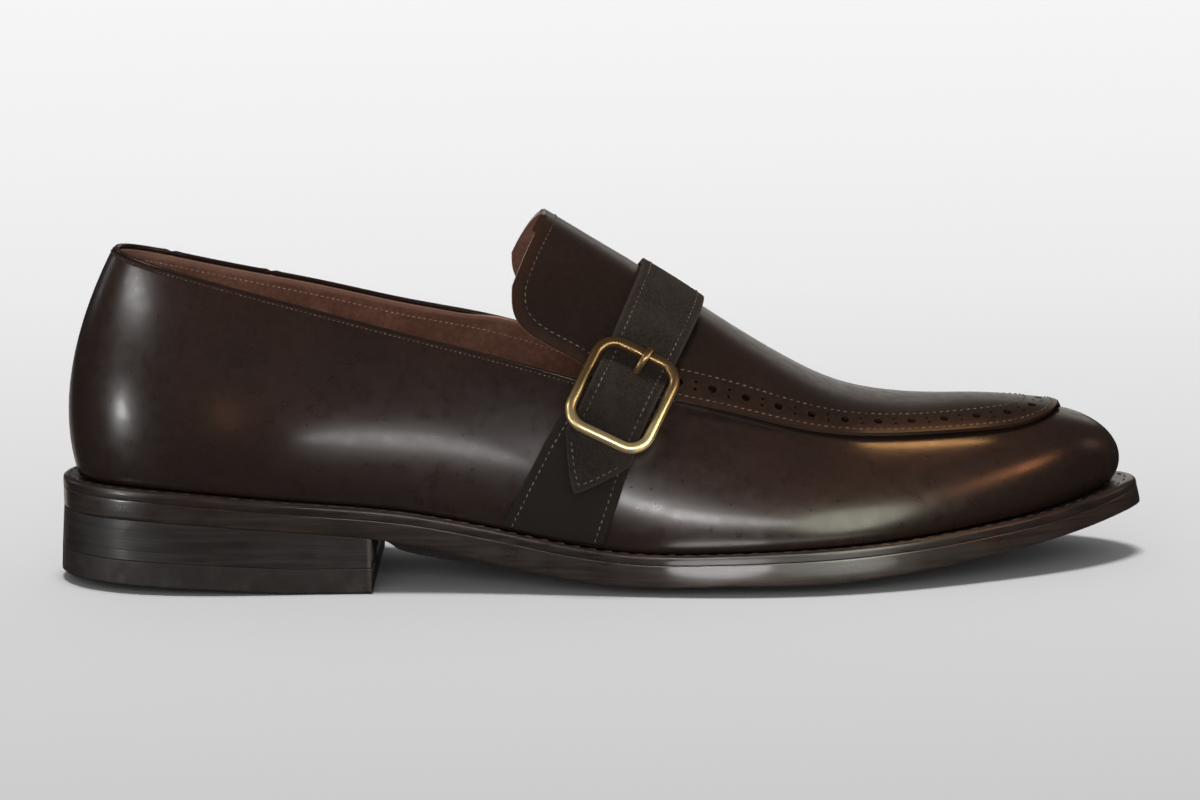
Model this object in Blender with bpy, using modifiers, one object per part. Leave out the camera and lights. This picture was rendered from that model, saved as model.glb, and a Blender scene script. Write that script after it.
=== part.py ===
"""Right shoe: welted slip-on with a raised apron, a saddle strap and a brass buckle.

Sizes are in millimetres; MM turns them into Blender's metres where a mesh is made.
The toe points to +X, the inner (medial) side is +Y, and the outer (lateral) side with the
buckle is -Y.  The tables count "along" from the back of the sole's seat.
"""
import math

import bmesh
import bpy
import numpy as np
from mathutils import Vector

MM = 0.001

# Leather and sole thicknesses
GAP = 0.3
SEAT_GAP = 0.45
UPPER_WALL = 2.2
APRON_WALL = 1.7
STRAP_WALL = 1.8
TAB_WALL = 1.1
WELT_THICK = 3.0
INSOLE_THICK = 3.2
TOP_PIECE_THICK = 7.0
TOE_SPRING = 0.2
SPRING_FROM = 230.0
SPRING_OVER = 70.0

# Sole and heel
HEEL_LENGTH = 89.0
HEEL_FLARE = 1.2
HEEL_FLAT = 66.0
HEEL_RISE = 2.4
BREAST_CLEAR = 0.8
BREAST_EASE = 7.0
WELT_TUCK = 6.0
FLAT_HALF = 0.45

# Apron, throat and tongue
THROAT_ALONG = 156.0
BOW_ALONG = (129.0, 154.0, 185.0)
BOW_DEPTH = (9.0, 4.0, 0.0)
TONGUE_TWIST = 1.2
TONGUE_ROWS = 10
THROAT_STEP = 1.5
APRON_LIFT = 0.35

# Strap and buckle, placed on the side of the shoe
STRAP_WIDTH = 19.5
STRAP_RIDGE = (174.9, 82.5)
STRAP_LEAN = math.radians(28.5)
STRAP_SECTIONS = (4.0, 10.0)
TIP_LENGTH = 13.6
TIP_START = 2.5
TIP_BLUNTNESS = 1.25
END_CLEAR = 1.4
INNER_END = 46.0
INNER_END_EASE = 16.0
NEAR_BUCKLE = (14.0, -15.0)
FLAT_REACH = 12.0
FLAT_EASE = 6.0
STRAP_HOLE = (3.0, 4.6, 9.0)
TAB_SLOT = (3.8, 7.0, 9.0)
TAB_SLOT_ACROSS = 0.2
TAB_CLIMB_END = -11.0
BUCKLE_HEIGHT = 53.0
FRAME_ACROSS = 23.4
FRAME_ALONG = 26.4
FRAME_CORNER = 5.6
FRAME_WIRE = 1.5
FRAME_LIFT = 6.3
FRAME_SHIFT = (0.5, -0.6)
BAR_LIFT = 4.6
BAR_RADIUS = 0.8
PRONG_RADIUS = 0.6
PRONG_FLATNESS = 1.9
PRONG_TURN = 0.15
HOLE_ABOVE = 6.0

# Mesh fineness: samples between two sections, up the wall, and across the top
LOOP_STEP = 3
WALL_STEPS = 8
ACROSS_STEPS = 10


def table(names, rows):
    """A table of sections: one array for each named column."""
    values = np.array(rows, float)
    return {name: values[:, i] for i, name in enumerate(names.split())}


# The sole's outline and the last's feather edge.  lateral and medial are half widths from the
# heel's axis, margin is the welt left outside the upper, deck is the welt's top at its rim,
# crown is how far the bed sinks below the rim, edge is the height of welt and outsole, and
# bulge is how far the tread stands proud below its edge in front of the heel.
SOLE = table("along lateral medial margin deck crown edge bulge", [
    (0.0, 0.0, 0.0, 4.3, 29.5, 0.0, 8.7, 0.0),
    (5.0, 16.5, 16.5, 4.3, 29.4, 0.0, 8.7, 0.0),
    (17.0, 28.0, 28.0, 4.2, 29.2, 0.0, 8.6, 0.0),
    (38.0, 35.0, 34.5, 4.0, 28.0, 0.0, 8.3, 0.0),
    (68.0, 36.5, 34.5, 3.8, 25.1, 0.0, 8.0, 0.0),
    (98.0, 38.0, 31.0, 3.6, 22.3, 0.4, 8.5, 5.8),
    (128.0, 42.5, 32.0, 3.8, 17.0, 1.4, 9.7, 2.6),
    (158.0, 49.0, 39.5, 4.5, 12.2, 2.8, 9.6, 0.0),
    (188.0, 54.0, 47.0, 5.3, 12.0, 2.9, 9.2, 0.0),
    (215.0, 53.5, 51.0, 6.0, 12.7, 2.6, 9.8, 0.0),
    (240.0, 47.0, 48.0, 6.3, 13.8, 2.0, 9.1, 0.0),
    (262.0, 37.0, 41.0, 6.5, 15.6, 1.5, 8.4, 0.0),
    (281.0, 26.0, 33.0, 6.5, 17.8, 1.0, 7.7, 0.0),
    (296.0, 13.0, 22.5, 6.5, 20.5, 0.6, 7.6, 0.0),
    (305.0, -4.0, 4.0, 6.5, 22.2, 0.4, 7.6, 0.0),
])

# The wall of the upper above each section of the sole: how far its lower half rises and swells
# from the feather edge, then the topline or, past the throat, the apron's edge, and how far the
# wall's upper half reaches out and drops from there.
WALL = table("rise swell along lateral medial lateral_height medial_height reach drop", [
    (20.7, 5.9, 16.7, 0.0, 0.0, 94.1, 94.1, 10.9, 20.0),
    (20.5, 5.8, 19.4, 9.5, 9.5, 93.3, 93.3, 10.6, 19.5),
    (20.0, 5.2, 28.0, 17.2, 17.2, 91.0, 90.8, 9.8, 18.5),
    (18.0, 4.0, 45.5, 22.8, 22.6, 86.2, 86.1, 9.0, 17.0),
    (16.0, 3.2, 72.0, 26.5, 26.0, 79.0, 80.0, 8.0, 15.5),
    (15.0, 3.0, 99.5, 29.2, 28.6, 71.5, 73.1, 7.5, 14.0),
    (15.0, 3.2, 128.0, 32.0, 32.0, 64.0, 66.2, 6.6, 13.0),
    (14.0, 3.4, 157.0, 33.5, 34.5, 0.0, 0.0, 4.8, 12.0),
    (11.0, 3.5, 187.0, 32.8, 34.4, 0.0, 0.0, 6.5, 9.5),
    (9.5, 3.8, 213.0, 30.8, 32.6, 0.0, 0.0, 8.3, 7.0),
    (8.5, 4.0, 236.0, 26.8, 28.8, 0.0, 0.0, 9.5, 5.4),
    (8.0, 4.5, 255.0, 21.9, 23.9, 0.0, 0.0, 10.5, 4.9),
    (7.8, 5.0, 270.0, 16.4, 18.9, 0.0, 0.0, 12.3, 4.1),
    (7.7, 5.4, 279.3, 9.0, 12.3, 0.0, 0.0, 14.7, 3.3),
    (7.7, 5.6, 282.5, -2.0, 2.0, 0.0, 0.0, 15.8, 3.0),
])

# The top of the last: the ridge, its middle across, and how quickly it rounds off to the sides
# (ridge - round y^2 - shoulder y^4, scaled by 1e3 and 1e6).
TOP = table("along ridge middle round shoulder", [
    (115.0, 114.2, 0.5, 23.5, 11.8),
    (140.0, 98.4, 0.5, 21.5, 10.5),
    (160.0, 85.8, 0.5, 17.0, 8.3),
    (175.0, 76.2, 0.6, 14.5, 5.9),
    (190.0, 65.4, 0.8, 11.5, 4.2),
    (205.0, 55.8, 0.9, 9.0, 3.05),
    (220.0, 48.8, 1.0, 6.8, 2.4),
    (235.0, 45.3, 1.0, 6.2, 2.45),
    (250.0, 44.5, 1.1, 7.5, 3.3),
    (265.0, 44.1, 1.2, 11.0, 6.0),
    (275.0, 43.2, 1.4, 12.5, 9.0),
    (285.0, 41.5, 1.7, 13.0, 10.0),
    (297.0, 38.0, 2.0, 13.0, 10.0),
])

# The tongue's cut edge from the throat up to its top: where each row ends at the sides, and its
# half width.
TONGUE = table("along half", [
    (129.4, 26.0),
    (129.3, 27.9),
    (130.2, 29.4),
    (133.0, 30.3),
    (138.5, 30.8),
    (147.0, 31.5),
    (154.5, 33.0),
])

# The strap by distance above the buckle's bar: how high its under face runs over the last, its
# width, and how far its middle is shifted towards the toe.
STRAP_RUN = table("above lift width shift", [
    (-40.0, 1.85, 20.6, 0.9),
    (-20.0, 1.85, 20.6, 0.9),
    (-14.0, 1.95, 20.3, 0.9),
    (-10.5, 2.15, 19.2, 0.6),
    (-8.0, 3.3, 18.9, 0.5),
    (-5.0, 5.4, 18.8, 0.5),
    (-2.5, 6.8, 18.8, 0.5),
    (0.0, 7.35, 18.8, 0.5),
    (2.0, 7.0, 18.8, 0.5),
    (4.0, 5.7, 18.8, 0.5),
    (6.0, 4.2, 18.8, 0.5),
    (8.0, 3.0, 18.8, 0.5),
    (10.0, 2.5, 18.9, 0.4),
    (12.5, 2.4, 19.1, 0.2),
    (18.0, 2.5, 19.5, 0.0),
    (60.0, 2.5, 19.5, 0.0),
])

# The tab by distance above the bar: how far its rear and front edges are from the middle.
TAB = table("above rear front", [
    (-46.0, 12.6, 15.2),
    (-34.0, 13.0, 13.4),
    (-22.0, 13.0, 11.6),
    (-13.0, 12.4, 10.4),
    (-6.0, 9.0, 9.8),
])

# How the tab climbs to the bar just below it, as lifts off the last of its middle.
TAB_CLIMB = table("above lift", [
    (-8.0, 1.6),
    (-5.2, 3.3),
    (-2.7, 5.35),
])

# The prong's middle from its hook on the bar to its tip on the frame.
PRONG = table("above lift", [
    (2.6, 5.3),
    (4.6, 4.6),
    (6.4, 4.9),
    (8.4, 6.5),
    (10.4, 8.1),
    (12.2, 8.75),
    (14.8, 8.45),
])


def smooth_curve(knots, values, closed=False):
    """The smooth cubic curve through the knots; a closed one repeats after its last knot."""
    values = np.asarray(values, float)
    flat = values.reshape(len(values), -1)
    count = len(flat)
    step = np.diff(knots)
    following = np.roll(flat, -1, axis=0) if closed else np.vstack([flat[1:], flat[-1:]])
    cells = count if closed else count - 1
    slope = (following[:cells] - flat[:cells]) / step[:, None]
    system = np.zeros((count, count))
    right = np.zeros_like(flat)
    for i in range(count):
        if not closed and i in (0, count - 1):
            system[i, i] = 2.0
            system[i, 1 if i == 0 else count - 2] = 1.0
            right[i] = 3.0 * slope[min(i, cells - 1)]
            continue
        system[i, i - 1] += step[i]
        system[i, i] += 2.0 * (step[i - 1] + step[i])
        system[i, (i + 1) % count] += step[i - 1]
        right[i] = 3.0 * (step[i] * slope[i - 1] + step[i - 1] * slope[i])
    tangent = np.linalg.solve(system, right)

    def curve(where):
        where = np.asarray(where, float)
        spot = np.mod(where, knots[-1]) if closed else np.clip(where, knots[0], knots[-1])
        cell = np.clip(np.searchsorted(knots, spot, side="right") - 1, 0, cells - 1)
        t = ((spot - knots[cell]) / step[cell])[..., None]
        leave = tangent[cell] * step[cell][..., None]
        arrive = tangent[(cell + 1) % count] * step[cell][..., None]
        point = ((1 + 2 * t) * (1 - t) ** 2 * flat[cell] + t * (1 - t) ** 2 * leave
                 + t * t * (3 - 2 * t) * following[cell] + t * t * (t - 1) * arrive)
        return point.reshape(where.shape + values.shape[1:])

    return curve


def curve_of(columns, names, by="along"):
    """The smooth curve of some columns of a table over another of its columns."""
    return smooth_curve(columns[by], np.stack([columns[name] for name in names.split()], 1))


def ease(value):
    """0 below 0, 1 above 1, and a smooth step between."""
    value = np.clip(value, 0.0, 1.0)
    return value * value * (3.0 - 2.0 * value)


top_curve = curve_of(TOP, "ridge middle round shoulder")
bed_curve = curve_of(SOLE, "deck crown")
edge_curve = curve_of(SOLE, "edge bulge")
run_curve = curve_of(STRAP_RUN, "lift width shift", by="above")
TONGUE["step"] = np.arange(len(TONGUE["along"]))
tongue_curve = curve_of(TONGUE, "along half", by="step")


def top_height(along, across):
    """Height of the top of the last, which apron and tongue lie on."""
    row = top_curve(along)
    square = (across - row[..., 1]) ** 2
    return row[..., 0] - row[..., 2] * 1e-3 * square - row[..., 3] * 1e-6 * square ** 2


def around(lateral, medial):
    """One value for each knot of the loop: heel, outer side, toe, inner side."""
    return np.concatenate([lateral, medial[-2:0:-1]])


ROWS = len(SOLE["along"])
edge_height = [
    np.where(WALL["along"] < THROAT_ALONG, WALL[side + "_height"],
             top_height(WALL["along"], sign * WALL[side]))
    for side, sign in (("lateral", -1.0), ("medial", 1.0))
]
LOOP = np.stack([
    around(SOLE["along"], SOLE["along"]),
    around(-SOLE["lateral"], SOLE["medial"]),
    around(SOLE["margin"], SOLE["margin"]),
    around(WALL["rise"], WALL["rise"]),
    around(WALL["swell"], WALL["swell"]),
    around(WALL["along"], WALL["along"]),
    around(-WALL["lateral"], WALL["medial"]),
    around(edge_height[0], edge_height[1]),
    around(WALL["reach"], WALL["reach"]),
    around(WALL["drop"], WALL["drop"]),
], 1)
chords = np.linalg.norm(np.roll(LOOP[:, :2], -1, axis=0) - LOOP[:, :2], axis=1)
KNOTS = np.concatenate([[0.0], np.cumsum(chords)])
loop_curve = smooth_curve(KNOTS, LOOP, closed=True)
MARGIN = 2


def place(station, side):
    """Place on the loop of a station, counted in sections from the heel, on side -1 or +1."""
    index = np.arange(ROWS)
    knots = KNOTS[:ROWS] if side < 0 else KNOTS[2 * ROWS - 2 - index]
    return np.interp(station, index, knots)


def outline(spot, inset=0.0):
    """The sole's outline in plan, moved inwards by inset, and its outward direction."""
    points = loop_curve(spot)[..., :2]
    tangent = loop_curve(spot + 0.05)[..., :2] - loop_curve(spot - 0.05)[..., :2]
    tangent /= np.linalg.norm(tangent, axis=-1, keepdims=True)
    outward = np.stack([tangent[..., 1], -tangent[..., 0]], -1)
    return points - outward * np.asarray(inset)[..., None], outward


fine = np.linspace(0.0, ROWS - 1.0, 281)
RIM_LATERAL = outline(place(fine, -1))[0]
RIM_MEDIAL = outline(place(fine, 1))[0]
TREAD_TOE = RIM_LATERAL[:, 0].max() + TOE_SPRING * SOLE["edge"][-1]
CENTRE = np.array([
    (RIM_LATERAL[:, 0].min() - HEEL_FLARE + TREAD_TOE) / 2.0,
    (RIM_LATERAL[:, 1].min() + RIM_MEDIAL[:, 1].max()) / 2.0,
    0.0,
])


def deck(along, across):
    """Height of the welt's top face, and of everything parallel to it, over the plan."""
    rows = bed_curve(along)
    left = np.interp(along, RIM_LATERAL[:, 0], RIM_LATERAL[:, 1])
    right = np.interp(along, RIM_MEDIAL[:, 0], RIM_MEDIAL[:, 1])
    half = np.maximum((right - left) / 2.0, 1.0)
    off = np.clip(np.abs(across - (left + right) / 2.0) / half, 0.0, 1.0)
    rise = np.clip((off - FLAT_HALF) / (1.0 - FLAT_HALF), 0.0, 1.0) ** 2
    return rows[..., 0] - rows[..., 1] * (1.0 - rise)


def wall(spot, t):
    """The outer face of the wall: spot runs round the loop, t from the feather edge to the top."""
    row = loop_curve(spot)
    foot, outward = outline(spot, row[..., MARGIN])
    feather = np.concatenate([foot, (deck(foot[..., 0], foot[..., 1]) + SEAT_GAP)[..., None]], -1)
    top = row[..., 5:8]
    out3 = np.concatenate([outward, np.zeros_like(outward[..., :1])], -1)
    up3 = np.array([0.0, 0.0, 1.0])
    lower = feather + out3 * row[..., 4:5] + up3 * row[..., 3:4]
    upper = top + out3 * row[..., 8:9] - up3 * row[..., 9:10]
    t = np.asarray(t, float)[..., None]
    return ((1 - t) ** 3 * feather + 3 * t * (1 - t) ** 2 * lower
            + 3 * t * t * (1 - t) * upper + t ** 3 * top)


def top_row(lateral_end, medial_end, across):
    """A row over the top between two ends; across runs from -1 to 1."""
    bow = np.interp((lateral_end[0] + medial_end[0]) / 2.0, BOW_ALONG, BOW_DEPTH)
    share = ((across + 1.0) / 2.0)[:, None]
    plan = lateral_end[:2] * (1.0 - share) + medial_end[:2] * share
    plan[:, 0] += bow * (1.0 - across ** 2)
    ends = [end[2] - top_height(end[0], end[1]) for end in (lateral_end, medial_end)]
    height = top_height(plan[:, 0], plan[:, 1]) + ends[0] * (1.0 - share[:, 0]) + ends[1] * share[:, 0]
    return np.column_stack([plan, height])


def vamp_rows(stations, across):
    """Rows over the vamp between the two sides of the apron's edge."""
    lateral = wall(place(stations, -1), np.ones(len(stations)))
    medial = wall(place(stations, 1), np.ones(len(stations)))
    return np.array([top_row(a, b, across) for a, b in zip(lateral, medial)])


def tongue_rows(steps, across):
    """Rows over the tongue, from its top edge to the throat."""
    rows = []
    for (along, half), step in zip(tongue_curve(steps), steps):
        ends = []
        for side in (-1.0, 1.0):
            x = along - TONGUE_TWIST * (side > 0) * ease(1.0 - step / steps[-1])
            ends.append(np.array([x, side * half, top_height(x, side * half)]))
        rows.append(top_row(ends[0], ends[1], across))
    return np.array(rows)


def face_normals(grid):
    """Outward unit normals of a grid of points whose rows run to the toe and columns to +Y."""
    along = np.gradient(grid, axis=0)
    across = np.gradient(grid, axis=1)
    normal = np.cross(along, across)
    length = np.linalg.norm(normal, axis=2, keepdims=True)
    return normal / np.maximum(length, 1e-9)


# ---------------------------------------------------------------- making objects

def clear_scene():
    for thing in list(bpy.data.objects):
        bpy.data.objects.remove(thing, do_unlink=True)


def collection(name):
    group = bpy.data.collections.new(name)
    bpy.context.scene.collection.children.link(group)
    return group


def material(name, colour, roughness, metallic=0.0):
    made = bpy.data.materials.new(name)
    made.use_nodes = True
    shader = made.node_tree.nodes["Principled BSDF"]
    shader.inputs["Base Color"].default_value = (*colour, 1.0)
    shader.inputs["Roughness"].default_value = roughness
    shader.inputs["Metallic"].default_value = metallic
    return made


def add_mesh(name, points, faces, finish, group=None):
    """A mesh object from points in millimetres; points that coincide are merged."""
    mesh = bpy.data.meshes.new(name)
    mesh.from_pydata([tuple(p) for p in (np.asarray(points) - CENTRE) * MM], [], faces)
    work = bmesh.new()
    work.from_mesh(mesh)
    bmesh.ops.remove_doubles(work, verts=work.verts, dist=0.00001)
    work.to_mesh(mesh)
    work.free()
    mesh.materials.append(finish)
    thing = bpy.data.objects.new(name, mesh)
    (group or SHOE).objects.link(thing)
    return thing


def smooth(thing, angle=35.0):
    thing.data.shade_smooth()
    thing.data.set_sharp_from_angle(angle=math.radians(angle))


def grid_faces(rows, columns, first=0, closed=False):
    """Quads over a grid of points, seen from outside when rows run to the toe, columns to +Y."""
    faces = []
    for i in range(rows if closed else rows - 1):
        for j in range(columns - 1):
            a = first + i * columns + j
            b = first + (i + 1) % rows * columns + j
            faces.append((a, b, b + 1, a + 1))
    return faces


def slab(name, upper, lower, finish):
    """A closed solid between two grids of points with the same rows and columns."""
    rows, columns = upper.shape[:2]
    count = rows * columns
    faces = grid_faces(rows, columns)
    faces += [tuple(reversed(face)) for face in grid_faces(rows, columns, count)]
    rim = [i * columns for i in range(rows)]
    rim += [(rows - 1) * columns + j for j in range(1, columns)]
    rim += [i * columns + columns - 1 for i in range(rows - 2, -1, -1)]
    rim += [j for j in range(columns - 2, 0, -1)]
    for a, b in zip(rim, rim[1:] + rim[:1]):
        faces.append((b, a, a + count, b + count))
    points = np.vstack([upper.reshape(-1, 3), lower.reshape(-1, 3)])
    thing = add_mesh(name, points, faces, finish)
    work = bmesh.new()
    work.from_mesh(thing.data)
    bmesh.ops.recalc_face_normals(work, faces=work.faces)
    work.to_mesh(thing.data)
    work.free()
    smooth(thing)
    return thing


def shell(name, grid, thick, finish):
    """An open sheet over a grid of points with its thickness added outwards."""
    rows, columns = grid.shape[:2]
    thing = add_mesh(name, grid.reshape(-1, 3), grid_faces(rows, columns), finish)
    thicken(thing, thick, 1.0)
    smooth(thing)
    return thing


def thicken(thing, thick, offset):
    wall_maker = thing.modifiers.new("Leather thickness", "SOLIDIFY")
    wall_maker.thickness = thick * MM
    wall_maker.offset = offset
    wall_maker.use_even_offset = True
    wall_maker.use_quality_normals = True


def boolean(thing, cutter, operation="DIFFERENCE"):
    tool = thing.modifiers.new(cutter.name, "BOOLEAN")
    tool.operation = operation
    tool.object = cutter
    cutter.hide_render = True
    cutter.display_type = "WIRE"


def tube(name, points, radius, finish, cyclic=False, sides=2):
    """A round wire along points in millimetres, made a mesh so that it can be cut and joined."""
    curve = bpy.data.curves.new(name, "CURVE")
    curve.dimensions = "3D"
    curve.bevel_depth = radius * MM
    curve.bevel_resolution = sides
    curve.use_fill_caps = True
    path = curve.splines.new("POLY")
    path.points.add(len(points) - 1)
    for point, place_mm in zip(path.points, (np.asarray(points) - CENTRE) * MM):
        point.co = (*place_mm, 1.0)
    path.use_cyclic_u = cyclic
    wire = bpy.data.objects.new(name + "_path", curve)
    SHOE.objects.link(wire)
    bpy.context.view_layer.update()
    evaluated = wire.evaluated_get(bpy.context.evaluated_depsgraph_get())
    mesh = bpy.data.meshes.new_from_object(evaluated)
    bpy.data.objects.remove(wire, do_unlink=True)
    work = bmesh.new()
    work.from_mesh(mesh)
    bmesh.ops.remove_doubles(work, verts=work.verts, dist=0.00001)
    bmesh.ops.recalc_face_normals(work, faces=work.faces)
    work.to_mesh(mesh)
    work.free()
    mesh.name = name
    mesh.materials.clear()
    mesh.materials.append(finish)
    thing = bpy.data.objects.new(name, mesh)
    SHOE.objects.link(thing)
    smooth(thing, 50.0)
    return thing


# ---------------------------------------------------------------- sole and heel

def station_at(along, side):
    """The station where the outline reaches a distance along, on one side."""
    reached = outline(place(fine, side))[0][:, 0]
    half = len(fine) // 2
    return np.interp(along, reached[:half], fine[:half])


def plan_rows(shares, inset, ends=(ROWS - 1.0, ROWS - 1.0), across=6, with_margin=0.0):
    """Plan points of rows across the sole, from the heel to a last station on each side."""
    def edge(station, side):
        spot = place(station, side)
        return outline(spot, inset + with_margin * loop_curve(spot)[..., MARGIN])[0]
    lateral = edge(shares * ends[0], -1)
    medial = edge(shares * ends[1], 1)
    share = np.linspace(0.0, 1.0, across + 1)[None, :, None]
    return lateral[:, None, :] * (1.0 - share) + medial[:, None, :] * share


def raised(plan, height):
    """Plan points with a height each."""
    return np.concatenate([plan, height[..., None]], -1)


def below(points, drop):
    """Points of the bed moved down by a thickness, square to it where the toe springs up."""
    lower = points.copy()
    lower[..., 0] += drop * TOE_SPRING * ease((points[..., 0] - SPRING_FROM) / SPRING_OVER)
    lower[..., 2] -= drop
    return lower


def make_sole():
    breast = station_at(HEEL_LENGTH + BREAST_CLEAR, -1) / (ROWS - 1.0)
    shares = np.sort(np.append(np.linspace(0.0, 1.0, (ROWS - 1) * LOOP_STEP + 1), breast))
    plan = plan_rows(shares, 0.0, across=6)
    top = deck(plan[..., 0], plan[..., 1]) - WELT_THICK - SEAT_GAP
    upper_face = below(raised(plan, top + WELT_THICK + SEAT_GAP), WELT_THICK + SEAT_GAP)
    edge, bulge = np.moveaxis(edge_curve(plan[..., 0]), -1, 0)
    off = np.abs(np.linspace(-1.0, 1.0, plan.shape[1]))
    waist = ease((plan[..., 0] - HEEL_LENGTH - BREAST_CLEAR) / BREAST_EASE)
    tread = below(upper_face, edge - WELT_THICK - SEAT_GAP + bulge * waist * (1.0 - off ** 3))
    tread[..., 2] = np.maximum(tread[..., 2], 0.0)
    slab("outsole", upper_face, tread, SOLE_LEATHER)


def make_welt():
    spots = loop_spots()
    rim, _ = outline(spots)
    tucked, _ = outline(spots, loop_curve(spots)[..., MARGIN] + WELT_TUCK)
    rings = np.stack([rim, tucked], 1)
    top = raised(rings, deck(rings[..., 0], rings[..., 1]))
    under = below(top, WELT_THICK)
    count = len(spots)
    points = np.concatenate([top, under[:, ::-1]], 1)
    faces = []
    for i in range(count):
        j = (i + 1) % count
        for k in range(4):
            faces.append((4 * i + k, 4 * j + k, 4 * j + (k + 1) % 4, 4 * i + (k + 1) % 4))
    smooth(add_mesh("welt", points.reshape(-1, 3), faces, WELT_LEATHER))


def heel_plan(inset):
    ends = [station_at(HEEL_LENGTH, side) for side in (-1, 1)]
    shares = np.linspace(0.0, 1.0, 5 * LOOP_STEP + 1)
    plan = plan_rows(shares, inset, ends, across=6)
    plan[-1, :, 0] = HEEL_LENGTH
    return plan


def make_heel():
    """Stacked lifts under the seat, then the top piece, which rises a little at the back."""
    seat = heel_plan(0.0)
    waist = heel_plan(-HEEL_FLARE * 0.7)
    foot = heel_plan(-HEEL_FLARE)
    seat_height = deck(seat[..., 0], seat[..., 1]) - edge_curve(seat[..., 0])[..., 0] - SEAT_GAP
    floor = HEEL_RISE * np.maximum(1.0 - (seat[..., 0] / HEEL_FLAT) ** 2, 0.0)
    level = floor + TOP_PIECE_THICK
    slab("heel_stack", raised(seat, seat_height), raised(waist, level + GAP), HEEL_LEATHER)
    slab("heel_top_piece", raised(waist, level), raised(foot, floor), TOP_PIECE_RUBBER)


def make_insole():
    shares = np.linspace(0.0, 1.0, (ROWS - 1) * 2 + 1)
    plan = plan_rows(shares, UPPER_WALL + 2.0 * GAP, with_margin=1.0)
    bed = deck(plan[..., 0], plan[..., 1]) + SEAT_GAP
    slab("insole", raised(plan, bed + INSOLE_THICK), raised(plan, bed), LINING)


# ---------------------------------------------------------------- upper, apron and tongue

def loop_stations():
    return np.linspace(0.0, ROWS - 1.0, (ROWS - 1) * LOOP_STEP + 1)


def loop_spots():
    stations = loop_stations()
    return np.concatenate([place(stations, -1), place(stations[-2:0:-1], 1)])


def make_upper():
    """One hollow shell: the wall all round, and the vamp's top as far back as the throat."""
    spots = loop_spots()
    count = len(spots)
    steps = np.linspace(0.0, 1.0, WALL_STEPS + 1)
    sides = wall(spots[:, None], np.broadcast_to(steps, (count, WALL_STEPS + 1)))
    points = [p for p in sides.reshape(-1, 3)]
    faces = grid_faces(count, WALL_STEPS + 1, closed=True)
    stations = loop_stations()
    throat = int(np.argmin(np.abs(wall(place(stations, -1), np.ones(len(stations)))[:, 0] - THROAT_ALONG)))
    across = np.linspace(-1.0, 1.0, ACROSS_STEPS + 1)
    rows = vamp_rows(stations[throat:-1], across)
    edge = WALL_STEPS
    index = []
    for offset, row in enumerate(rows):
        station = throat + offset
        first = len(points)
        points += [p for p in row[1:-1]]
        line = [station * (WALL_STEPS + 1) + edge]
        line += list(range(first, first + ACROSS_STEPS - 1))
        line.append((count - station) % count * (WALL_STEPS + 1) + edge)
        index.append(line)
    for here, ahead in zip(index, index[1:]):
        for j in range(ACROSS_STEPS):
            faces.append((here[j], ahead[j], ahead[j + 1], here[j + 1]))
    toe = (len(stations) - 1) * (WALL_STEPS + 1) + edge
    for j in range(ACROSS_STEPS):
        faces.append((index[-1][j], toe, index[-1][j + 1]))
    upper = add_mesh("upper", np.array(points), faces, POLISHED_LEATHER)
    thicken(upper, UPPER_WALL, -1.0)
    smooth(upper)


def apron_grid():
    across = np.linspace(-1.0, 1.0, ACROSS_STEPS + 1)
    stations = loop_stations()
    lateral = wall(place(stations, -1), np.ones(len(stations)))
    ahead = stations[(lateral[:, 0] > TONGUE["along"][-1] + THROAT_STEP) & (stations < ROWS - 1.0)]
    steps = np.linspace(0.0, TONGUE["step"][-1], TONGUE_ROWS)
    toe = wall(place(np.array([ROWS - 1.0]), -1), np.ones(1))
    tip = np.repeat(toe[:, None, :], len(across), axis=1)
    return np.concatenate([tongue_rows(steps, across), vamp_rows(ahead, across), tip])


def make_apron():
    """The apron laps the edge of the wall and runs on as the tongue."""
    grid = apron_grid()
    normals = face_normals(grid)
    normals[-1] = normals[-2].mean(axis=0) / np.linalg.norm(normals[-2].mean(axis=0))
    shell("apron", grid + normals * APRON_LIFT, APRON_WALL, POLISHED_LEATHER)


# ---------------------------------------------------------------- strap, tab and buckle

def side_surface(side, station, t):
    """The last's surface on one side: t is 0 to 1 up the wall and 1 to 2 on to the ridge."""
    spot = place(station, side)
    low = wall(spot, np.clip(t, 0.0, 1.0))
    edge = wall(spot, np.ones_like(t))
    other = wall(place(station, -side), np.ones_like(t))
    share = np.clip(t - 1.0, 0.0, 1.0) / 2.0
    plan = edge[..., :2] * (1.0 - share[..., None]) + other[..., :2] * share[..., None]
    fix = edge[..., 2] - top_height(edge[..., 0], edge[..., 1])
    height = top_height(plan[..., 0], plan[..., 1]) + fix * (1.0 - 2.0 * share)
    high = raised(plan, height)
    return np.where((t > 1.0)[..., None], high, low)


def strap_plane(points):
    """Signed distance in front of the strap's middle plane, seen from the side."""
    lean = np.array([math.cos(STRAP_LEAN), 0.0, -math.sin(STRAP_LEAN)])
    return (points - np.array([STRAP_RIDGE[0], 0.0, STRAP_RIDGE[1]])) @ lean


def strap_line(side, offset, t):
    """Points of the last at one distance from the strap's middle plane, for each t."""
    low, high = (np.full(len(t), section) for section in STRAP_SECTIONS)
    for _ in range(26):
        middle = (low + high) / 2.0
        behind = strap_plane(side_surface(side, middle, t)) < offset
        low = np.where(behind, middle, low)
        high = np.where(behind, high, middle)
    return side_surface(side, (low + high) / 2.0, t)


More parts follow.
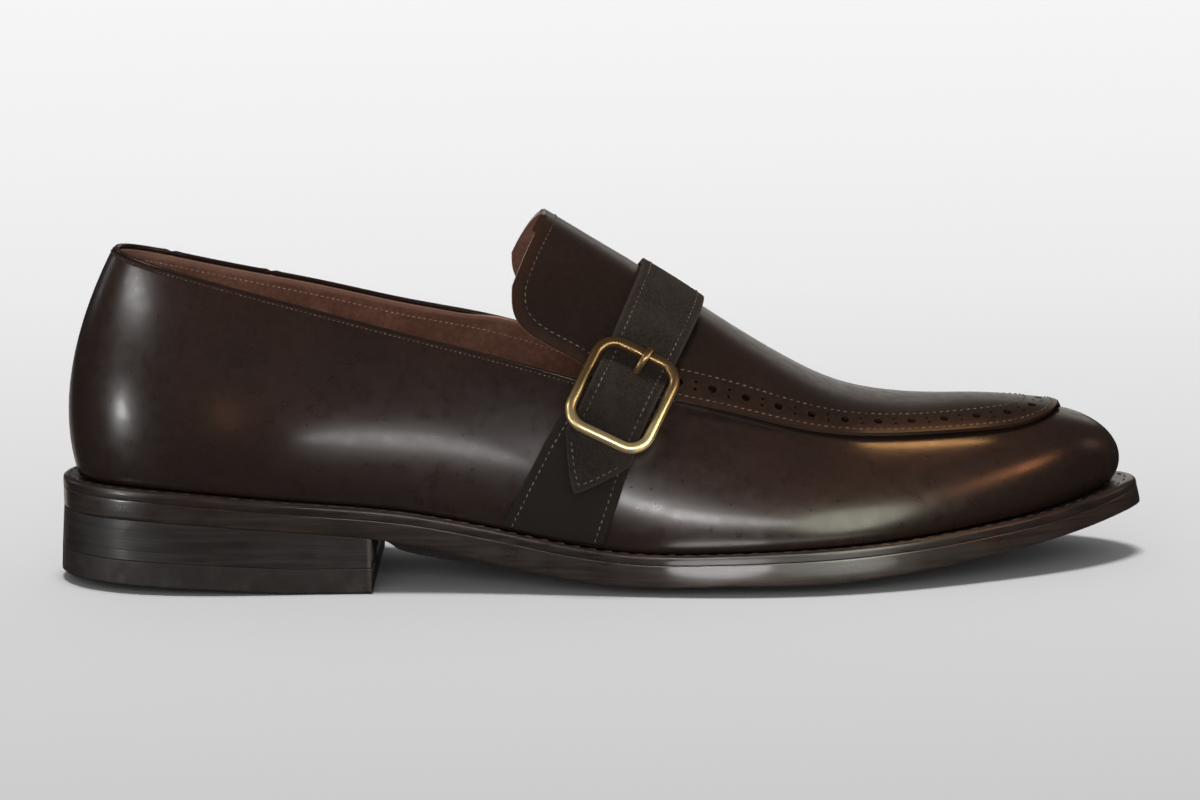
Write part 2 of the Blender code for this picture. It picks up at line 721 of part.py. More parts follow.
def strap_course(offset):
    """One long line of the strap from the inner welt, over the ridge, to the outer welt.

    Returns the points, the outward normals, and the distance above the buckle's bar.
    """
    t = np.linspace(0.0, 2.0, 81)
    lines = []
    for shift in (offset - 0.5, offset, offset + 0.5):
        inner = strap_line(1, shift, t)
        outer = strap_line(-1, shift, t)[::-1][1:]
        lines.append(np.concatenate([inner, outer]))
    points = lines[1]
    forward = lines[2] - lines[0]
    onward = np.gradient(points, axis=0)
    normal = np.cross(onward, forward)
    normal /= np.linalg.norm(normal, axis=1, keepdims=True)
    ring = np.array([0.06, 0.24, 0.4, 0.24, 0.06])
    padded = np.pad(normal, ((2, 2), (0, 0)), mode="edge")
    normal = sum(ring[k] * padded[k:k + len(normal)] for k in range(5))
    normal /= np.linalg.norm(normal, axis=1, keepdims=True)
    travel = np.concatenate([[0.0], np.cumsum(np.linalg.norm(np.diff(points, axis=0), axis=1))])
    outer_side = np.arange(len(points)) >= len(t)
    drop = np.where(outer_side, points[:, 2] + 0.5 * strap_plane(points), 1e6)
    bar = np.interp(-BUCKLE_HEIGHT, -drop[len(t):], travel[len(t):])
    return points, normal, bar - travel


def lay(course, above, lift):
    """Points at distances above the bar and lifts off the last, on one line of the strap."""
    points, normal, distance = course
    order = np.argsort(distance)
    at = [np.interp(above, distance[order], points[order, k]) for k in range(3)]
    up = [np.interp(above, distance[order], normal[order, k]) for k in range(3)]
    return np.stack(at, -1) + np.stack(up, -1) * np.asarray(lift)[..., None]


def buckle_frame_axes():
    """The bar's middle on the last, and the directions across, up the strap and outward."""
    course = strap_course(0.0)
    middle = lay(course, np.array([0.0]), np.array([0.0]))[0]
    above = lay(course, np.array([9.0]), np.array([0.0]))[0]
    below = lay(course, np.array([-9.0]), np.array([0.0]))[0]
    front = lay(strap_course(9.0), np.array([0.0]), np.array([0.0]))[0]
    back = lay(strap_course(-9.0), np.array([0.0]), np.array([0.0]))[0]
    up = (above - below) / np.linalg.norm(above - below)
    across = front - back
    across -= up * (across @ up)
    across /= np.linalg.norm(across)
    out = np.cross(across, up)
    if out[1] > 0:
        out = -out
    return middle, across, up, out


def buckle_point(axes, across, above, lift):
    middle, side, up, out = axes
    across, above, lift = np.broadcast_arrays(np.asarray(across, float), above, lift)
    return (middle + side * across[..., None] + up * above[..., None] + out * lift[..., None])


def near_buckle(axes, course, across, above, lift):
    """Over the last away from the buckle, and true to the buckle's own plane beside its bar."""
    over_last = lay(course, above, lift)
    in_plane = buckle_point(axes, across, above, lift)
    share = ease((FLAT_REACH - np.abs(above)) / FLAT_EASE)[..., None]
    return over_last * (1.0 - share) + in_plane * share


def strap_edge(across):
    """How far below the bar the strap runs, by its share of the half width: a blunt point."""
    return -FRAME_ALONG / 2.0 - TIP_START - TIP_LENGTH * (1.0 - abs(across) ** TIP_BLUNTNESS)


def strap_end(offset, side):
    """Distance above the bar at which a line of the strap meets the feather edge on one side."""
    ends = [course[2].max() if side > 0 else course[2].min() for _, course in STRAP_LINES]
    return np.interp(offset, [place_across for place_across, _ in STRAP_LINES], ends)


def strap_grid(offsets, above_rows, lift_rows, axes):
    """Points of a strip over the last: a row for each height, a column for each offset."""
    columns = []
    places = np.array([offset for offset, _ in STRAP_LINES])
    for offset, above, lift in zip(offsets, above_rows, lift_rows):
        points = np.zeros((len(above), 3))
        for k, width in enumerate(offset):
            right = int(np.clip(np.searchsorted(places, width), 1, len(places) - 1))
            share = (width - places[right - 1]) / (places[right] - places[right - 1])
            for line, weight in ((right - 1, 1.0 - share), (right, share)):
                course = STRAP_LINES[line][1]
                spot = near_buckle(axes, course, places[line], above[k:k + 1], lift[k:k + 1])[0]
                points[k] += weight * spot
        columns.append(points)
    return np.stack(columns, 1)


def make_strap(axes):
    """Suede strap from the inner welt, over the instep and through the buckle to its tip."""
    shares = np.linspace(-0.5, 0.5, 5)
    near = np.linspace(*NEAR_BUCKLE, 16)
    above, lifts, offsets = [], [], []
    for share in shares:
        start = strap_end(share * STRAP_WIDTH, 1) - END_CLEAR
        column = np.concatenate([np.linspace(start, near[0], 34)[:-1], near,
                                 np.linspace(near[-1], strap_edge(share * 2.0), 6)[1:]])
        low = ease((column - start + INNER_END) / INNER_END_EASE)
        above.append(column)
        lift, width, shift = run_curve(column).T
        lifts.append(lift * (1.0 - low) + APRON_LIFT * low)
        offsets.append(share * width + shift)
    grid = strap_grid(offsets, above, lifts, axes)
    strap = shell("strap", grid, STRAP_WALL, SUEDE)
    hole = (PRONG_TURN * HOLE_ABOVE, HOLE_ABOVE, BAR_LIFT)
    boolean(strap, cutter_box("strap_hole_cutter", axes, hole, STRAP_HOLE))


def cutter_box(name, axes, centre, size):
    """A box in the buckle's own directions, kept as a cutter."""
    corners = []
    for i in (-0.5, 0.5):
        for j in (-0.5, 0.5):
            for k in (-0.5, 0.5):
                corners.append(buckle_point(axes, centre[0] + i * size[0], centre[1] + j * size[1],
                                            centre[2] + k * size[2]))
    faces = [(0, 1, 3, 2), (4, 6, 7, 5), (0, 4, 5, 1), (2, 3, 7, 6), (0, 2, 6, 4), (1, 5, 7, 3)]
    box = add_mesh(name, np.array(corners), faces, BRASS, CUTTERS)
    work = bmesh.new()
    work.from_mesh(box.data)
    bmesh.ops.recalc_face_normals(work, faces=work.faces)
    work.to_mesh(box.data)
    work.free()
    return box


def make_tab(axes):
    """Suede tab from the outer welt up to the buckle, wrapped over and under its bar."""
    wrap = BAR_RADIUS + GAP + TAB_WALL / 2.0
    turn = np.radians(np.linspace(100.0, -120.0, 12))
    offsets, above, lifts = [], [], []
    for share in np.linspace(0.0, 1.0, 5):
        foot = share * TAB["front"][0] - (1.0 - share) * TAB["rear"][0]
        climb = np.linspace(strap_end(foot, -1) + END_CLEAR, TAB_CLIMB_END, 14)
        column = np.concatenate([climb, TAB_CLIMB["above"], wrap * np.cos(turn)])
        above.append(column)
        offsets.append(share * np.interp(column, TAB["above"], TAB["front"])
                       - (1.0 - share) * np.interp(column, TAB["above"], TAB["rear"]))
        lifts.append(np.concatenate([np.full(len(climb), APRON_LIFT + TAB_WALL / 2.0), TAB_CLIMB["lift"],
                                     BAR_LIFT + wrap * np.sin(turn)]))
    grid = strap_grid(offsets, above, lifts, axes)
    rows, width = grid.shape[:2]
    tab = add_mesh("strap_base", grid.reshape(-1, 3), grid_faces(rows, width), SUEDE)
    thicken(tab, TAB_WALL, 0.0)
    smooth(tab)
    slot = (TAB_SLOT_ACROSS, 0.0, BAR_LIFT)
    boolean(tab, cutter_box("prong_slot_cutter", axes, slot, TAB_SLOT))


def make_buckle(axes):
    """A rounded rectangular frame with a sunken centre bar, and a prong hooked on the bar."""
    corners = []
    half_across = FRAME_ACROSS / 2.0 - FRAME_CORNER
    half_along = FRAME_ALONG / 2.0 - FRAME_CORNER
    for quarter in range(4):
        turn = np.radians(np.linspace(90.0 * quarter, 90.0 * quarter + 90.0, 6))
        sign_x = 1.0 if quarter in (0, 3) else -1.0
        sign_y = 1.0 if quarter in (0, 1) else -1.0
        corners += [(sign_x * half_across + FRAME_CORNER * math.cos(a),
                     sign_y * half_along + FRAME_CORNER * math.sin(a)) for a in turn]
    corners = np.array(corners)
    ring = buckle_point(axes, corners[:, 0] + FRAME_SHIFT[0], corners[:, 1] + FRAME_SHIFT[1], FRAME_LIFT)
    frame = tube("buckle_frame", ring, FRAME_WIRE, BRASS, cyclic=True)
    ends = np.array([-0.5, 0.5]) * FRAME_ACROSS + FRAME_SHIFT[0]
    drop = [buckle_point(axes, ends[0], 0.0, FRAME_LIFT - 0.2), buckle_point(axes, ends[0], 0.0, BAR_LIFT),
            buckle_point(axes, ends[1], 0.0, BAR_LIFT), buckle_point(axes, ends[1], 0.0, FRAME_LIFT - 0.2)]
    bar = tube("centre_bar", np.array(drop), BAR_RADIUS, BRASS)
    SHOE.objects.unlink(bar)
    CUTTERS.objects.link(bar)
    boolean(frame, bar, "UNION")
    hook = BAR_RADIUS + GAP + PRONG_RADIUS
    turn = np.radians(np.linspace(-150.0, -270.0, 7))
    hooked = [(hook * math.cos(a), BAR_LIFT + hook * math.sin(a)) for a in turn]
    course = np.vstack([hooked, np.stack([PRONG["above"], PRONG["lift"]], 1)])
    across = PRONG_TURN * np.maximum(course[:, 0], 0.0)
    path = buckle_point(axes, across, course[:, 0], course[:, 1])
    prong = tube("buckle_prong", path, PRONG_RADIUS, BRASS)
    middle, side, up, _ = axes
    for vertex in prong.data.vertices:
        spot = np.array(vertex.co) / MM + CENTRE - middle
        centre = PRONG_TURN * max(spot @ up, 0.0)
        wider = (PRONG_FLATNESS - 1.0) * (spot @ side - centre)
        vertex.co += Vector(side * wider * MM)


clear_scene()
SHOE = collection("loafer")
CUTTERS = collection("cutters")
POLISHED_LEATHER = material("polished_leather", (0.022, 0.012, 0.009), 0.25)
SUEDE = material("suede", (0.020, 0.013, 0.010), 0.9)
LINING = material("lining_leather", (0.16, 0.065, 0.035), 0.6)
WELT_LEATHER = material("welt_leather", (0.020, 0.011, 0.009), 0.45)
SOLE_LEATHER = material("sole_leather", (0.024, 0.014, 0.011), 0.45)
HEEL_LEATHER = material("heel_leather", (0.022, 0.013, 0.010), 0.45)
TOP_PIECE_RUBBER = material("top_piece_rubber", (0.014, 0.011, 0.010), 0.6)
BRASS = material("antique_brass", (0.45, 0.30, 0.12), 0.3, 1.0)

make_sole()
make_welt()
make_heel()
make_insole()
make_upper()
make_apron()
STRAP_LINES = [(offset, strap_course(offset)) for offset in np.linspace(-16.0, 16.0, 9)]
AXES = buckle_frame_axes()
make_strap(AXES)
make_tab(AXES)
make_buckle(AXES)
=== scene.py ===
"""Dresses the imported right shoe: a polished slip-on with a brogued apron, a suede monk strap
with a brass buckle, and a stitched welt on a leather sole with a stacked heel.

Sizes are in millimetres, counted along from the back of the sole's seat; put() turns them into the
frame's metres.  The toe points to +X, and the outer side with the buckle is -Y.
"""
import math

import bpy
import numpy as np
from mathutils import Matrix, Vector
from mathutils.bvhtree import BVHTree


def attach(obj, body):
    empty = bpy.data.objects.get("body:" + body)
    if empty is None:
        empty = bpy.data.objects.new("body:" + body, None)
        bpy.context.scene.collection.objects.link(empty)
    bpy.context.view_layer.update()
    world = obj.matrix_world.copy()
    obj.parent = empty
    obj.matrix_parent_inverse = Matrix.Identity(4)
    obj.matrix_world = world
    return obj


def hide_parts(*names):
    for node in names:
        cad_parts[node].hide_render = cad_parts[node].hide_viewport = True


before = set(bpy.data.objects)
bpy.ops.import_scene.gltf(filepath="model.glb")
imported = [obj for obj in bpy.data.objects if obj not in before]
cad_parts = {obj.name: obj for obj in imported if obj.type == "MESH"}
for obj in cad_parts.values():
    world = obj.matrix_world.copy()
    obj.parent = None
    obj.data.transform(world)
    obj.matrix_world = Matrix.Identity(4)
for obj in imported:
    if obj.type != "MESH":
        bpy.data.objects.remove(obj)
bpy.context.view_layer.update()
MM = 0.001

# Leather and sole thicknesses
GAP = 0.3
SEAT_GAP = 0.45
UPPER_WALL = 2.2
STRAP_WALL = 1.8
TAB_WALL = 1.1
WELT_THICK = 3.0
INSOLE_THICK = 3.2
TOP_PIECE_THICK = 7.0
TOE_SPRING = 0.2
SPRING_FROM = 230.0
SPRING_OVER = 70.0

# Sole and heel
HEEL_LENGTH = 89.0
HEEL_FLARE = 1.2
HEEL_FLAT = 66.0
HEEL_RISE = 2.4
BREAST_CLEAR = 0.8
BREAST_EASE = 7.0
WELT_TUCK = 6.0
FLAT_HALF = 0.45

# Apron, throat and tongue
THROAT_ALONG = 156.0
BOW_ALONG = (129.0, 154.0, 185.0)
BOW_DEPTH = (9.0, 4.0, 0.0)
TONGUE_TWIST = 1.2
APRON_LIFT = 0.35

# Strap and buckle, placed on the side of the shoe
STRAP_WIDTH = 19.5
STRAP_RIDGE = (174.9, 82.5)
STRAP_LEAN = math.radians(28.5)
STRAP_SECTIONS = (4.0, 10.0)
TIP_LENGTH = 13.6
TIP_START = 2.5
TIP_BLUNTNESS = 1.25
END_CLEAR = 1.4
INNER_END = 46.0
INNER_END_EASE = 16.0
NEAR_BUCKLE = (14.0, -15.0)
FLAT_REACH = 12.0
FLAT_EASE = 6.0
TAB_CLIMB_END = -11.0
BUCKLE_HEIGHT = 53.0
FRAME_ACROSS = 23.4
FRAME_ALONG = 26.4
FRAME_CORNER = 5.6
FRAME_WIRE = 1.5
FRAME_LIFT = 6.3
FRAME_SHIFT = (0.5, -0.6)
BAR_LIFT = 4.6
BAR_RADIUS = 0.8
PRONG_RADIUS = 0.6
PRONG_FLATNESS = 1.9
PRONG_TURN = 0.15


def table(names, rows):
    """A table of sections: one array for each named column."""
    values = np.array(rows, float)
    return {name: values[:, i] for i, name in enumerate(names.split())}


# The sole's outline and the last's feather edge.  lateral and medial are half widths from the
# heel's axis, margin is the welt left outside the upper, deck is the welt's top at its rim,
# crown is how far the bed sinks below the rim, edge is the height of welt and outsole, and
# bulge is how far the tread stands proud below its edge in front of the heel.
SOLE = table("along lateral medial margin deck crown edge bulge", [
    (0, 0, 0, 4.3, 29.5, 0, 8.7, 0),
    (5, 16.5, 16.5, 4.3, 29.4, 0, 8.7, 0),
    (17, 28, 28, 4.2, 29.2, 0, 8.6, 0),
    (38, 35, 34.5, 4, 28, 0, 8.3, 0),
    (68, 36.5, 34.5, 3.8, 25.1, 0, 8, 0),
    (98, 38, 31, 3.6, 22.3, 0.4, 8.5, 5.8),
    (128, 42.5, 32, 3.8, 17, 1.4, 9.7, 2.6),
    (158, 49, 39.5, 4.5, 12.2, 2.8, 9.6, 0),
    (188, 54, 47, 5.3, 12, 2.9, 9.2, 0),
    (215, 53.5, 51, 6, 12.7, 2.6, 9.8, 0),
    (240, 47, 48, 6.3, 13.8, 2, 9.1, 0),
    (262, 37, 41, 6.5, 15.6, 1.5, 8.4, 0),
    (281, 26, 33, 6.5, 17.8, 1, 7.7, 0),
    (296, 13, 22.5, 6.5, 20.5, 0.6, 7.6, 0),
    (305, -4, 4, 6.5, 22.2, 0.4, 7.6, 0),
])

# The wall of the upper above each section of the sole: how far its lower half rises and swells
# from the feather edge, then the topline or, past the throat, the apron's edge, and how far the
# wall's upper half reaches out and drops from there.
WALL = table("rise swell along lateral medial lateral_height medial_height reach drop", [
    (20.7, 5.9, 16.7, 0, 0, 94.1, 94.1, 10.9, 20),
    (20.5, 5.8, 19.4, 9.5, 9.5, 93.3, 93.3, 10.6, 19.5),
    (20, 5.2, 28, 17.2, 17.2, 91, 90.8, 9.8, 18.5),
    (18, 4, 45.5, 22.8, 22.6, 86.2, 86.1, 9, 17),
    (16, 3.2, 72, 26.5, 26, 79, 80, 8, 15.5),
    (15, 3, 99.5, 29.2, 28.6, 71.5, 73.1, 7.5, 14),
    (15, 3.2, 128, 32, 32, 64, 66.2, 6.6, 13),
    (14, 3.4, 157, 33.5, 34.5, 0, 0, 4.8, 12),
    (11, 3.5, 187, 32.8, 34.4, 0, 0, 6.5, 9.5),
    (9.5, 3.8, 213, 30.8, 32.6, 0, 0, 8.3, 7),
    (8.5, 4, 236, 26.8, 28.8, 0, 0, 9.5, 5.4),
    (8, 4.5, 255, 21.9, 23.9, 0, 0, 10.5, 4.9),
    (7.8, 5, 270, 16.4, 18.9, 0, 0, 12.3, 4.1),
    (7.7, 5.4, 279.3, 9, 12.3, 0, 0, 14.7, 3.3),
    (7.7, 5.6, 282.5, -2, 2, 0, 0, 15.8, 3),
])

# The top of the last: the ridge, its middle across, and how quickly it rounds off to the sides
# (ridge - round y^2 - shoulder y^4, scaled by 1e3 and 1e6).
TOP = table("along ridge middle round shoulder", [
    (115, 114.2, 0.5, 23.5, 11.8),
    (140, 98.4, 0.5, 21.5, 10.5),
    (160, 85.8, 0.5, 17, 8.3),
    (175, 76.2, 0.6, 14.5, 5.9),
    (190, 65.4, 0.8, 11.5, 4.2),
    (205, 55.8, 0.9, 9, 3.05),
    (220, 48.8, 1, 6.8, 2.4),
    (235, 45.3, 1, 6.2, 2.45),
    (250, 44.5, 1.1, 7.5, 3.3),
    (265, 44.1, 1.2, 11, 6),
    (275, 43.2, 1.4, 12.5, 9),
    (285, 41.5, 1.7, 13, 10),
    (297, 38, 2, 13, 10),
])

# The tongue's cut edge from the throat up to its top: where each row ends at the sides, and its
# half width.
TONGUE = table("along half", [
    (129.4, 26),
    (129.3, 27.9),
    (130.2, 29.4),
    (133, 30.3),
    (138.5, 30.8),
    (147, 31.5),
    (154.5, 33),
])

# The strap by distance above the buckle's bar: how high its under face runs over the last, its
# width, and how far its middle is shifted towards the toe.
STRAP_RUN = table("above lift width shift", [
    (-40, 1.85, 20.6, 0.9),
    (-20, 1.85, 20.6, 0.9),
    (-14, 1.95, 20.3, 0.9),
    (-10.5, 2.15, 19.2, 0.6),
    (-8, 3.3, 18.9, 0.5),
    (-5, 5.4, 18.8, 0.5),
    (-2.5, 6.8, 18.8, 0.5),
    (0, 7.35, 18.8, 0.5),
    (2, 7, 18.8, 0.5),
    (4, 5.7, 18.8, 0.5),
    (6, 4.2, 18.8, 0.5),
    (8, 3, 18.8, 0.5),
    (10, 2.5, 18.9, 0.4),
    (12.5, 2.4, 19.1, 0.2),
    (18, 2.5, 19.5, 0),
    (60, 2.5, 19.5, 0),
])

# The tab by distance above the bar: how far its rear and front edges are from the middle.
TAB = table("above rear front", [
    (-46, 12.6, 15.2),
    (-34, 13, 13.4),
    (-22, 13, 11.6),
    (-13, 12.4, 10.4),
    (-6, 9, 9.8),
])

# The prong's middle from its hook on the bar to its tip on the frame.
PRONG = table("above lift", [
    (2.6, 5.3),
    (4.6, 4.6),
    (6.4, 4.9),
    (8.4, 6.5),
    (10.4, 8.1),
    (12.2, 8.75),
    (14.8, 8.45),
])


def smooth_curve(knots, values, closed=False):
    """The smooth cubic curve through the knots; a closed one repeats after its last knot."""
    values = np.asarray(values, float)
    flat = values.reshape(len(values), -1)
    count = len(flat)
    step = np.diff(knots)
    following = np.roll(flat, -1, axis=0) if closed else np.vstack([flat[1:], flat[-1:]])
    cells = count if closed else count - 1
    slope = (following[:cells] - flat[:cells]) / step[:, None]
    system = np.zeros((count, count))
    right = np.zeros_like(flat)
    for i in range(count):
        if not closed and i in (0, count - 1):
            system[i, i] = 2.0
            system[i, 1 if i == 0 else count - 2] = 1.0
            right[i] = 3.0 * slope[min(i, cells - 1)]
            continue
        system[i, i - 1] += step[i]
        system[i, i] += 2.0 * (step[i - 1] + step[i])
        system[i, (i + 1) % count] += step[i - 1]
        right[i] = 3.0 * (step[i] * slope[i - 1] + step[i - 1] * slope[i])
    tangent = np.linalg.solve(system, right)

    def curve(where):
        where = np.asarray(where, float)
        spot = np.mod(where, knots[-1]) if closed else np.clip(where, knots[0], knots[-1])
        cell = np.clip(np.searchsorted(knots, spot, side="right") - 1, 0, cells - 1)
        t = ((spot - knots[cell]) / step[cell])[..., None]
        leave = tangent[cell] * step[cell][..., None]
        arrive = tangent[(cell + 1) % count] * step[cell][..., None]
        point = ((1 + 2 * t) * (1 - t) ** 2 * flat[cell] + t * (1 - t) ** 2 * leave
                 + t * t * (3 - 2 * t) * following[cell] + t * t * (t - 1) * arrive)
        return point.reshape(where.shape + values.shape[1:])

    return curve


def curve_of(columns, names, by="along"):
    """The smooth curve of some columns of a table over another of its columns."""
    return smooth_curve(columns[by], np.stack([columns[name] for name in names.split()], 1))


def ease(value):
    """0 below 0, 1 above 1, and a smooth step between."""
    value = np.clip(value, 0.0, 1.0)
    return value * value * (3.0 - 2.0 * value)


def unit(vectors):
    return vectors / np.linalg.norm(vectors, axis=-1, keepdims=True)


def travel_along(points):
    """How far one has come at each point of a run."""
    return np.concatenate([[0.0], np.cumsum(np.linalg.norm(np.diff(points, axis=0), axis=1))])


def on_run(where, travel, points):
    """The places of a run that lie a way along it."""
    return np.stack([np.interp(where, travel, points[:, k]) for k in range(3)], -1)


def softened(values, weights):
    """A run of values, each blended with its neighbours by five weights."""
    padded = np.pad(values, ((2, 2), (0, 0)), mode="edge")
    return sum(weights[k] * padded[k:k + len(values)] for k in range(5))


top_curve = curve_of(TOP, "ridge middle round shoulder")
bed_curve = curve_of(SOLE, "deck crown")
edge_curve = curve_of(SOLE, "edge bulge")
run_curve = curve_of(STRAP_RUN, "lift width shift", by="above")
TONGUE["step"] = np.arange(len(TONGUE["along"]))
tongue_curve = curve_of(TONGUE, "along half", by="step")


def top_height(along, across):
    """Height of the top of the last, which apron and tongue lie on."""
    row = top_curve(along)
    square = (across - row[..., 1]) ** 2
    return row[..., 0] - row[..., 2] * 1e-3 * square - row[..., 3] * 1e-6 * square ** 2


def around(lateral, medial):
    """One value for each knot of the loop: heel, outer side, toe, inner side."""
    return np.concatenate([lateral, medial[-2:0:-1]])


ROWS = len(SOLE["along"])
edge_height = [
    np.where(WALL["along"] < THROAT_ALONG, WALL[side + "_height"],
             top_height(WALL["along"], sign * WALL[side]))
    for side, sign in (("lateral", -1.0), ("medial", 1.0))
]
# The columns of the loop: sole along, across and margin, then the wall's rise and swell, its top
# edge along, across and up, and its reach and drop.
LOOP = np.stack([around(*pair) for pair in (
    (SOLE["along"],) * 2, (-SOLE["lateral"], SOLE["medial"]), (SOLE["margin"],) * 2,
    (WALL["rise"],) * 2, (WALL["swell"],) * 2, (WALL["along"],) * 2,
    (-WALL["lateral"], WALL["medial"]), edge_height, (WALL["reach"],) * 2, (WALL["drop"],) * 2,
)], 1)
chords = np.linalg.norm(np.roll(LOOP[:, :2], -1, axis=0) - LOOP[:, :2], axis=1)
KNOTS = np.concatenate([[0.0], np.cumsum(chords)])
loop_curve = smooth_curve(KNOTS, LOOP, closed=True)
MARGIN = 2


def place(station, side):
    """Place on the loop of a station, counted in sections from the heel, on side -1 or +1."""
    index = np.arange(ROWS)
    knots = KNOTS[:ROWS] if side < 0 else KNOTS[2 * ROWS - 2 - index]
    return np.interp(station, index, knots)


def outline(spot, inset=0.0):
    """The sole's outline in plan, moved inwards by inset, and its outward direction."""
    points = loop_curve(spot)[..., :2]
    tangent = unit(loop_curve(spot + 0.05)[..., :2] - loop_curve(spot - 0.05)[..., :2])
    outward = np.stack([tangent[..., 1], -tangent[..., 0]], -1)
    return points - outward * np.asarray(inset)[..., None], outward


fine = np.linspace(0.0, ROWS - 1.0, 281)
RIM_LATERAL = outline(place(fine, -1))[0]
RIM_MEDIAL = outline(place(fine, 1))[0]
TREAD_TOE = RIM_LATERAL[:, 0].max() + TOE_SPRING * SOLE["edge"][-1]
CENTRE = np.array([
    (RIM_LATERAL[:, 0].min() - HEEL_FLARE + TREAD_TOE) / 2.0,
    (RIM_LATERAL[:, 1].min() + RIM_MEDIAL[:, 1].max()) / 2.0,
    0.0,
])


def deck(along, across):
    """Height of the welt's top face, and of everything parallel to it, over the plan."""
    rows = bed_curve(along)
    left = np.interp(along, RIM_LATERAL[:, 0], RIM_LATERAL[:, 1])
    right = np.interp(along, RIM_MEDIAL[:, 0], RIM_MEDIAL[:, 1])
    half = np.maximum((right - left) / 2.0, 1.0)
    off = np.clip(np.abs(across - (left + right) / 2.0) / half, 0.0, 1.0)
    rise = np.clip((off - FLAT_HALF) / (1.0 - FLAT_HALF), 0.0, 1.0) ** 2
    return rows[..., 0] - rows[..., 1] * (1.0 - rise)


def wall(spot, t):
    """The outer face of the wall: spot runs round the loop, t from the feather edge to the top."""
    row = loop_curve(spot)
    foot, outward = outline(spot, row[..., MARGIN])
    feather = np.concatenate([foot, (deck(foot[..., 0], foot[..., 1]) + SEAT_GAP)[..., None]], -1)
    top = row[..., 5:8]
    out3 = np.concatenate([outward, np.zeros_like(outward[..., :1])], -1)
    up3 = np.array([0.0, 0.0, 1.0])
    lower = feather + out3 * row[..., 4:5] + up3 * row[..., 3:4]
    upper = top + out3 * row[..., 8:9] - up3 * row[..., 9:10]
    t = np.asarray(t, float)[..., None]
    return ((1 - t) ** 3 * feather + 3 * t * (1 - t) ** 2 * lower
            + 3 * t * t * (1 - t) * upper + t ** 3 * top)


def top_row(lateral_end, medial_end, across):
    """A row over the top between two ends; across runs from -1 to 1."""
    bow = np.interp((lateral_end[0] + medial_end[0]) / 2.0, BOW_ALONG, BOW_DEPTH)
    share = ((across + 1.0) / 2.0)[:, None]
    plan = lateral_end[:2] * (1.0 - share) + medial_end[:2] * share
    plan[:, 0] += bow * (1.0 - across ** 2)
    ends = [end[2] - top_height(end[0], end[1]) for end in (lateral_end, medial_end)]
    lift = ends[0] * (1.0 - share) + ends[1] * share
    return np.column_stack([plan, top_height(plan[:, 0], plan[:, 1]) + lift[:, 0]])


def vamp_rows(stations, across):
    """Rows over the vamp between the two sides of the apron's edge."""
    lateral = wall(place(stations, -1), np.ones(len(stations)))
    medial = wall(place(stations, 1), np.ones(len(stations)))
    return np.array([top_row(a, b, across) for a, b in zip(lateral, medial)])


def tongue_rows(steps, across):
    """Rows over the tongue, from its top edge to the throat."""
    rows = []
    for (along, half), step in zip(tongue_curve(steps), steps):
        ends = []
        for side in (-1.0, 1.0):
            x = along - TONGUE_TWIST * (side > 0) * ease(1.0 - step / steps[-1])
            ends.append(np.array([x, side * half, top_height(x, side * half)]))
        rows.append(top_row(ends[0], ends[1], across))
    return np.array(rows)


# ---------------------------------------------------------------- working with Blender's tools

MERGE = 0.01
SMOOTH_ANGLE = math.radians(38.0)
BEVEL_ANGLE = math.radians(50.0)
DIRECTION_REACH = 0.4
THREAD_SINK = 0.06
# A bar's domed end: shares of the way to it, and of the bar's radius.
DOME = np.array([(0.0, 0.02), (0.3, 0.72), (0.7, 0.95)])


def new_object(name, data):
    made = bpy.data.objects.new(name, data)
    bpy.context.scene.collection.objects.link(made)
    return made


def deselect():
    if bpy.context.object and bpy.context.object.mode != "OBJECT":
        bpy.ops.object.mode_set(mode="OBJECT")
    bpy.ops.object.select_all(action="DESELECT")


def pick(piece):
    deselect()
    piece.select_set(True)
    bpy.context.view_layer.objects.active = piece


def put(points):
    """Millimetres of the shoe's own sizes as metres of the frame."""
    return (np.asarray(points) - CENTRE) * MM


def corners(piece):
    flat = np.empty(len(piece.data.vertices) * 3)
    piece.data.vertices.foreach_get("co", flat)
    return flat.reshape(-1, 3)


def leather(name, rows, marks=None):
    """A grid primitive whose corners are laid on rows of points, with named marks on them."""
    rows = np.asarray(rows)
    long, wide = rows.shape[0] - 1, rows.shape[1] - 1
    deselect()
    bpy.ops.mesh.primitive_grid_add(x_subdivisions=long, y_subdivisions=wide, size=2.0)
    piece = bpy.context.object
    piece.name = piece.data.name = name
    flat = corners(piece)
    i = np.rint((flat[:, 0] + 1.0) / 2.0 * long).astype(int)
    j = np.rint((flat[:, 1] + 1.0) / 2.0 * wide).astype(int)
    piece.data.vertices.foreach_set("co", put(rows[i, j]).ravel())
    for mark, values in (marks or {}).items():
        layer = piece.data.attributes.new(mark, "FLOAT", "POINT")
        layer.data.foreach_set("value", np.asarray(values, float)[i, j])
    piece.data.update()
    merge(piece)
    bpy.ops.object.shade_smooth()
    return piece


def edit(piece, tool, **settings):
    """Uses one of Blender's edit tools on the whole of a piece."""
    pick(piece)
    bpy.ops.object.mode_set(mode="EDIT")
    bpy.ops.mesh.select_all(action="SELECT")
    tool(**settings)
    bpy.ops.object.mode_set(mode="OBJECT")


def merge(piece):
    edit(piece, bpy.ops.mesh.remove_doubles, threshold=MERGE * MM)


def join(pieces):
    deselect()
    for piece in pieces:
        piece.select_set(True)
    bpy.context.view_layer.objects.active = pieces[0]
    bpy.ops.object.join()
    return pieces[0]


def work(piece, kind, **settings):
    """Adds a modifier, sets it and applies it."""
    pick(piece)
    bpy.ops.object.modifier_add(type=kind)
    step = piece.modifiers[-1]
    for key, value in settings.items():
        setattr(step, key, value)
    bpy.ops.object.modifier_apply(modifier=step.name)


